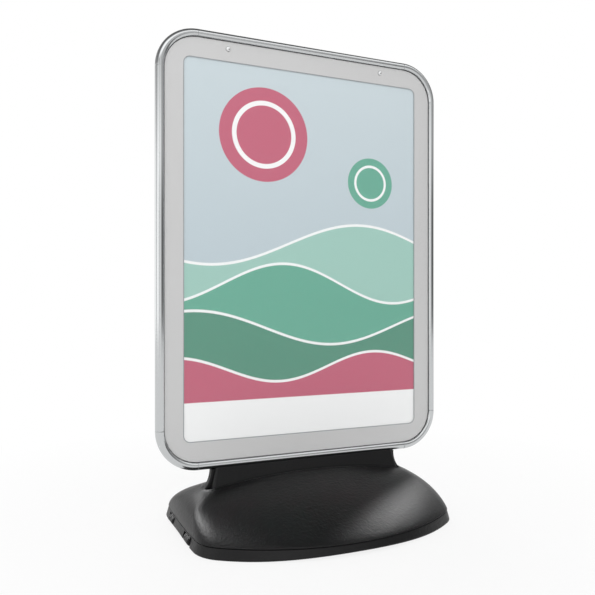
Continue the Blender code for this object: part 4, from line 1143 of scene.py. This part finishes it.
class SignPosterLooks(bpy.types.PropertyGroup):
    """Layout and inks of the posters"""
    foot_height: length("Foot", 0.276, "Height of the white foot's upper edge above the ground")
    sun_place: spot("Sun", (-0.105, 0.865), "The large disc's place, as x and z")
    sun_radius: length("Sun radius", 0.105, "Radius of the large disc")
    ring_place: spot("Ring", (0.165, 0.775), "The small disc's place, as x and z")
    ring_radius: length("Ring radius", 0.060, "Radius of the small disc")
    crest_line: length("Crest line", 0.006, "Width of the white line along each hill")
    ground_high: colour("Ground, top", "#CBD8DD", "Colour of the pale ground at the top")
    ground_low: colour("Ground, low", "#B4C6CF", "Colour of the pale ground lower down")
    white: colour("White", "#FCFDFD", "Unprinted paper")
    crimson: colour("Crimson", "#C3466A", "Crimson ink")
    mint: colour("Mint", "#4FA98F", "Mint ink")
    mint_pale: colour("Pale mint", "#9BCBBE", "Pale mint ink")
    mint_deep: colour("Deep mint", "#2F8A6E", "Deep mint ink")


class SignBaseLooks(bpy.types.PropertyGroup):
    """Sizes and finish of the base, cap and wheels"""
    side_bow: length("Side bow", 0.070, "How far the long sides bow out")
    end_bow: length("End bow", 0.003, "How far the ends bow out")
    base_corner: length("Corner", 0.080, "Radius of the base's corners")
    skirt_lean: length("Skirt lean", 0.005, "How far the skirt leans in")
    edge_round: length("Edge rounding", 0.003, "Rounding of the lower edge")
    seam_depth: length("Seam depth", 0.0025, "Depth of the groove between the mouldings")
    seam_slope: length("Seam slope", 0.002, "Height of each side of the groove")
    foot_width: length("Foot width", 0.040, "Width of the ring that the feet stand on")
    foot_corner: length("Foot corner", 0.034, "Inner radius at the feet")
    foot_slope: length("Foot slope", 0.014, "Run of the slope inside the feet")
    underside: length("Underside", 0.014, "Height of the underside above the ground")
    side_arch: length("Side arch", 0.007, "Rise of the lower edge between the feet along the sides")
    side_arch_span: length("Side span", 0.500, "Span of that rise")
    end_arch: length("End arch", 0.005, "Rise of the lower edge between the feet along the ends")
    end_arch_span: length("End span", 0.220, "Span of that rise")
    crest_length: length("Crest length", 0.500, "Length of the dome's crest")
    crest_depth: length("Crest depth", 0.070, "Depth of the dome's crest")
    crest_bow: length("Crest bow", 0.006, "How far the crest's long sides bow out")
    crest_end_bow: length("Crest end bow", 0.003, "How far the crest's ends bow out")
    crest_corner: length("Crest corner", 0.024, "Corner radius of the crest")
    crest_height: length("Crest height", 0.113, "Height of the crest at its middle")
    crest_drop: length("Crest drop", 0.025, "Fall of the crest towards its ends")
    dome_power: number("Dome power", 1.1, "Curvature of the slope", least=0.1)
    dome_shoulder: number("Dome shoulder", 1.2, "Fullness at the edge", least=0.1)
    end_fullness: number("End fullness", 2.2, "How late the dome's ends draw in", least=0.1)
    bead_width: length("Bead width", 0.008, "Width of the bead along the crest")
    bead_rise: length("Bead rise", 0.0015, "Height of the bead")
    bead_crease: length("Bead crease", 0.002, "Depth of the crease behind the bead")
    upstand_length: length("Upstand length", 0.438, "Length of the upstand")
    upstand_flare: length("Upstand flare", 0.010, "How much longer each end is at the foot")
    upstand_depth: length("Upstand depth", 0.030, "Depth of the upstand at its top")
    upstand_foot: length("Upstand foot", 0.048, "Depth of the upstand at its foot")
    upstand_corner: length("Upstand corner", 0.005, "Corner radius of the upstand")
    upstand_bow: length("Upstand bow", 0.0003, "Bow of the upstand's faces")
    fillet: length("Fillet", 0.003, "Fillet at the upstand's foot")
    top_round: length("Top rounding", 0.0012, "Rounding of the upstand's top edge")
    web_length: length("Web length", 0.456, "Length of the web at its top")
    web_flare: length("Web flare", 0.036, "How far each end flares out")
    web_height: length("Web height", 0.050, "Height of the flare")
    web_root: length("Web root", 0.014, "How far the web reaches into the dome")
    web_thickness: length("Web thickness", 0.016, "Thickness of the web")
    web_round: length("Web rounding", 0.002, "Rounding of the web's edges")
    slot_width: length("Slot width", 0.003, "Width of the slot in each end of the web")
    slot_depth: length("Slot depth", 0.005, "Depth of that slot")
    slot_height: length("Slot height", 0.022, "Height of that slot below the panel")
    seat_nose: length("Seat nose", 0.010, "Half height of the rim's nose in its seat")
    seat_gap: length("Seat gap", 0.0003, "Clearance round the rim's nose and the axles")
    pocket_diameter: length("Pocket", 0.028, "Diameter of the bolt pockets")
    neck_diameter: length("Neck", 0.042, "Diameter of the filler neck")
    mouth_diameter: length("Mouth", 0.032, "Diameter of the filler mouth")
    neck_height: length("Neck height", 0.011, "Height of the neck above the dome")
    neck_root: length("Neck root", 0.012, "How far the neck reaches into the dome")
    neck_lip: length("Neck lip", 0.001, "Rounding of the neck's edge")
    cap_gap: length("Cap gap", 0.0005, "Clearance between cap and neck")
    cap_wall: length("Cap wall", 0.004, "Thickness of the cap's wall")
    cap_start: length("Cap start", 0.0046, "Height of the cap's lower edge above the dome")
    cap_height: length("Cap height", 0.0125, "Height of the cap")
    cap_top: length("Cap top", 0.0035, "Thickness of the cap's top")
    cap_round: length("Cap rounding", 0.002, "Rounding of the cap's top edge")
    cap_dish: length("Cap dish", 0.0008, "Depth of the dish in the cap's top")
    cap_grips: IntProperty(name="Cap grips", description="How many grips the cap has", default=20, min=3)
    grip_depth: length("Grip depth", 0.0012, "Depth of the grips")
    wheel_diameter: length("Wheel", 0.018, "Diameter of the wheels")
    wheel_width: length("Wheel width", 0.033, "Width of the wheels")
    wheel_gap: length("Wheel gap", 0.0015, "Clearance over the wheels")
    wheel_side_gap: length("Side gap", 0.010, "Clearance beside the wheels")
    tyre_round: length("Tread rounding", 0.003, "Rounding at the edges of the tread")
    hub_dish: length("Hub dish", 0.002, "Depth of the dish at the hub")
    axle_diameter: length("Axle", 0.004, "Diameter of the axle pins")
    satin: fraction("Roughness", 0.40, "Roughness of the plastic")
    grain: length("Grain", 0.00042, "Depth of the leather grain")
    plastic: colour("Plastic", "#0B0B0C", "Colour of the plastic")
    dust: colour("Dust", "#111112", "Colour of the plastic where it is dusty")
    finish: PointerProperty(name="Finish", description="The base's plastic, once made",
                            type=bpy.types.Material)


class SignStageLooks(bpy.types.PropertyGroup):
    """Camera, light and floor"""
    camera_place: spot("Camera", (-0.6257, -1.4053, 0.496), "The camera's place")
    camera_turn: FloatProperty(name="Turn", description="How far the camera turns to the right of +Y",
                               default=math.radians(24), subtype="ANGLE")
    focal_pixels: number("Focal length", 667.84, "In photograph pixels", subtype="PIXEL")
    shift_pixels: FloatVectorProperty(name="Shift", description="Frame shift in photograph pixels", size=2,
                                      default=(-9.0, 2.5))
    sensor: number("Sensor", 36.0, "Sensor width in millimetres", unit="CAMERA")
    floor_radius: length("Floor radius", 30.0, "Radius of the floor")
    floor_white: fraction("Floor white", 0.84, "Share of plain white near the object")
    fade_start: length("Fade start", 0.42, "Where the floor starts to turn plain white")
    fade_end: length("Fade end", 1.2, "Where the floor is plain white")
    tent_radius: length("Tent radius", 9.0, "Radius of the tent that the metal mirrors")
    walls: number("Walls", 1.7, "Strength of the tent's walls")
    front_card: number("Front card", 0.55, "Strength of the card high in front")
    windows: number("Windows", 30.0, "Strength of the tent's bright windows")
    flag_low: length("Flag, low", 0.25, "Height up to which the windows are seen")
    flag_high: length("Flag, high", 0.50, "Height above which no window is seen")
    fill_light: number("Fill", 0.72, "Strength of the even light")
    lamp_size: length("Softbox", 2.0, "Side of each softbox")
    lamp_aim: spot("Softbox aim", (0, 0, 0.5), "Where both softboxes face")
    rear_lamp: spot("Rear softbox", (0.9, 3.2, 2.2), "Place of the softbox behind the sign")
    rear_power: number("Rear power", 30.0, "Watts of the softbox behind the sign", unit="POWER")
    front_lamp: spot("Front softbox", (-0.9, -3.2, 2.2), "Place of the softbox in front of the sign")
    front_power: number("Front power", 36.0, "Watts of the softbox in front of the sign", unit="POWER")


GROUPS = (("sign_rim", SignRimLooks), ("sign_covers", SignCoverLooks), ("sign_posters", SignPosterLooks),
          ("sign_base", SignBaseLooks), ("sign_stage", SignStageLooks))


# Operators

class SIGN_OT_rim(bpy.types.Operator):
    """Make the rails and corners of the rim"""
    bl_idname = "sign.rim"
    bl_label = "Rim"

    def execute(self, context):
        make_rim(context.scene.sign_rim)
        return {"FINISHED"}


class SIGN_OT_panel(bpy.types.Operator):
    """Finish the board, the steel sheets and the magnets"""
    bl_idname = "sign.panel"
    bl_label = "Panel"

    def execute(self, context):
        make_panel()
        return {"FINISHED"}


class SIGN_OT_fixings(bpy.types.Operator):
    """Finish the bolts, washers, anchor bar, axle pins and gasket"""
    bl_idname = "sign.fixings"
    bl_label = "Fixings"

    def execute(self, context):
        make_fixings(context.scene.sign_covers)
        return {"FINISHED"}


class SIGN_OT_studs(bpy.types.Operator):
    """Make the studs that the covers hang on"""
    bl_idname = "sign.studs"
    bl_label = "Studs"

    def execute(self, context):
        make_studs(context.scene.sign_covers)
        return {"FINISHED"}


class SIGN_OT_covers(bpy.types.Operator):
    """Finish the clear covers and make the lines round their windows, which also paint the shade at the
    windows' edges
    """
    bl_idname = "sign.covers"
    bl_label = "Covers"

    def execute(self, context):
        make_covers(context.scene.sign_covers)
        return {"FINISHED"}


class SIGN_OT_seals_and_painted_shade(bpy.types.Operator):
    """Make the seals inside the rim, whose grey also paints the shade in the gap round the covers"""
    bl_idname = "sign.seals"
    bl_label = "Seals"

    def execute(self, context):
        make_seals_and_painted_shade(context.scene.sign_covers)
        return {"FINISHED"}


class SIGN_OT_posters(bpy.types.Operator):
    """Print the posters"""
    bl_idname = "sign.posters"
    bl_label = "Posters"

    def execute(self, context):
        make_posters(context.scene.sign_posters)
        return {"FINISHED"}


class SIGN_OT_shell(bpy.types.Operator):
    """Make the base's upper moulding"""
    bl_idname = "sign.shell"
    bl_label = "Upper moulding"

    def execute(self, context):
        make_shell(context.scene.sign_base)
        return {"FINISHED"}


class SIGN_OT_tray(bpy.types.Operator):
    """Make the base's lower moulding"""
    bl_idname = "sign.tray"
    bl_label = "Lower moulding"

    def execute(self, context):
        make_tray(context.scene.sign_base)
        return {"FINISHED"}


class SIGN_OT_cap(bpy.types.Operator):
    """Make the filler cap"""
    bl_idname = "sign.cap"
    bl_label = "Filler cap"

    def execute(self, context):
        make_cap(context.scene.sign_base)
        return {"FINISHED"}


class SIGN_OT_wheels(bpy.types.Operator):
    """Make the two wheels"""
    bl_idname = "sign.wheels"
    bl_label = "Wheels"

    def execute(self, context):
        make_wheels(context.scene.sign_base)
        return {"FINISHED"}


class SIGN_OT_stage(bpy.types.Operator):
    """Set up the floor, light and camera"""
    bl_idname = "sign.stage"
    bl_label = "Studio"

    def execute(self, context):
        looks = context.scene.sign_stage
        context.scene.view_settings.view_transform = "Standard"
        white_world(looks)
        backdrop_floor(looks)
        studio_surround(looks)
        softbox("rear_softbox", looks.rear_lamp, looks.rear_power, looks)
        softbox("front_softbox", looks.front_lamp, looks.front_power, looks)
        add_camera(looks)
        return {"FINISHED"}


STEPS = (SIGN_OT_rim, SIGN_OT_panel, SIGN_OT_fixings, SIGN_OT_studs, SIGN_OT_covers, SIGN_OT_seals_and_painted_shade,
         SIGN_OT_posters, SIGN_OT_shell, SIGN_OT_tray, SIGN_OT_cap, SIGN_OT_wheels, SIGN_OT_stage)


class SIGN_PT_sign(bpy.types.Panel):
    """Lists the steps that finish the sign"""
    bl_idname = "SIGN_PT_sign"
    bl_label = "Forecourt poster sign"
    bl_space_type = "VIEW_3D"
    bl_region_type = "UI"
    bl_category = "Sign"

    def draw(self, context):
        for step in STEPS:
            self.layout.operator(step.bl_idname)


def register():
    """Register the settings, the operators and the panel."""
    for name, group in GROUPS:
        bpy.utils.register_class(group)
        setattr(bpy.types.Scene, name, PointerProperty(type=group))
    for made in (*STEPS, SIGN_PT_sign):
        bpy.utils.register_class(made)


def unregister():
    """Take the panel, the operators and the settings away again."""
    for made in (SIGN_PT_sign, *reversed(STEPS)):
        bpy.utils.unregister_class(made)
    for name, group in reversed(GROUPS):
        delattr(bpy.types.Scene, name)
        bpy.utils.unregister_class(group)


def main():
    """Finish the sign."""
    register()
    bpy.ops.sign.rim()
    bpy.ops.sign.panel()
    bpy.ops.sign.fixings()
    bpy.ops.sign.studs()
    bpy.ops.sign.covers()
    bpy.ops.sign.seals()
    bpy.ops.sign.posters()
    bpy.ops.sign.shell()
    bpy.ops.sign.tray()
    bpy.ops.sign.cap()
    bpy.ops.sign.wheels()
    bpy.ops.sign.stage()


if __name__ == "__main__":
    main()
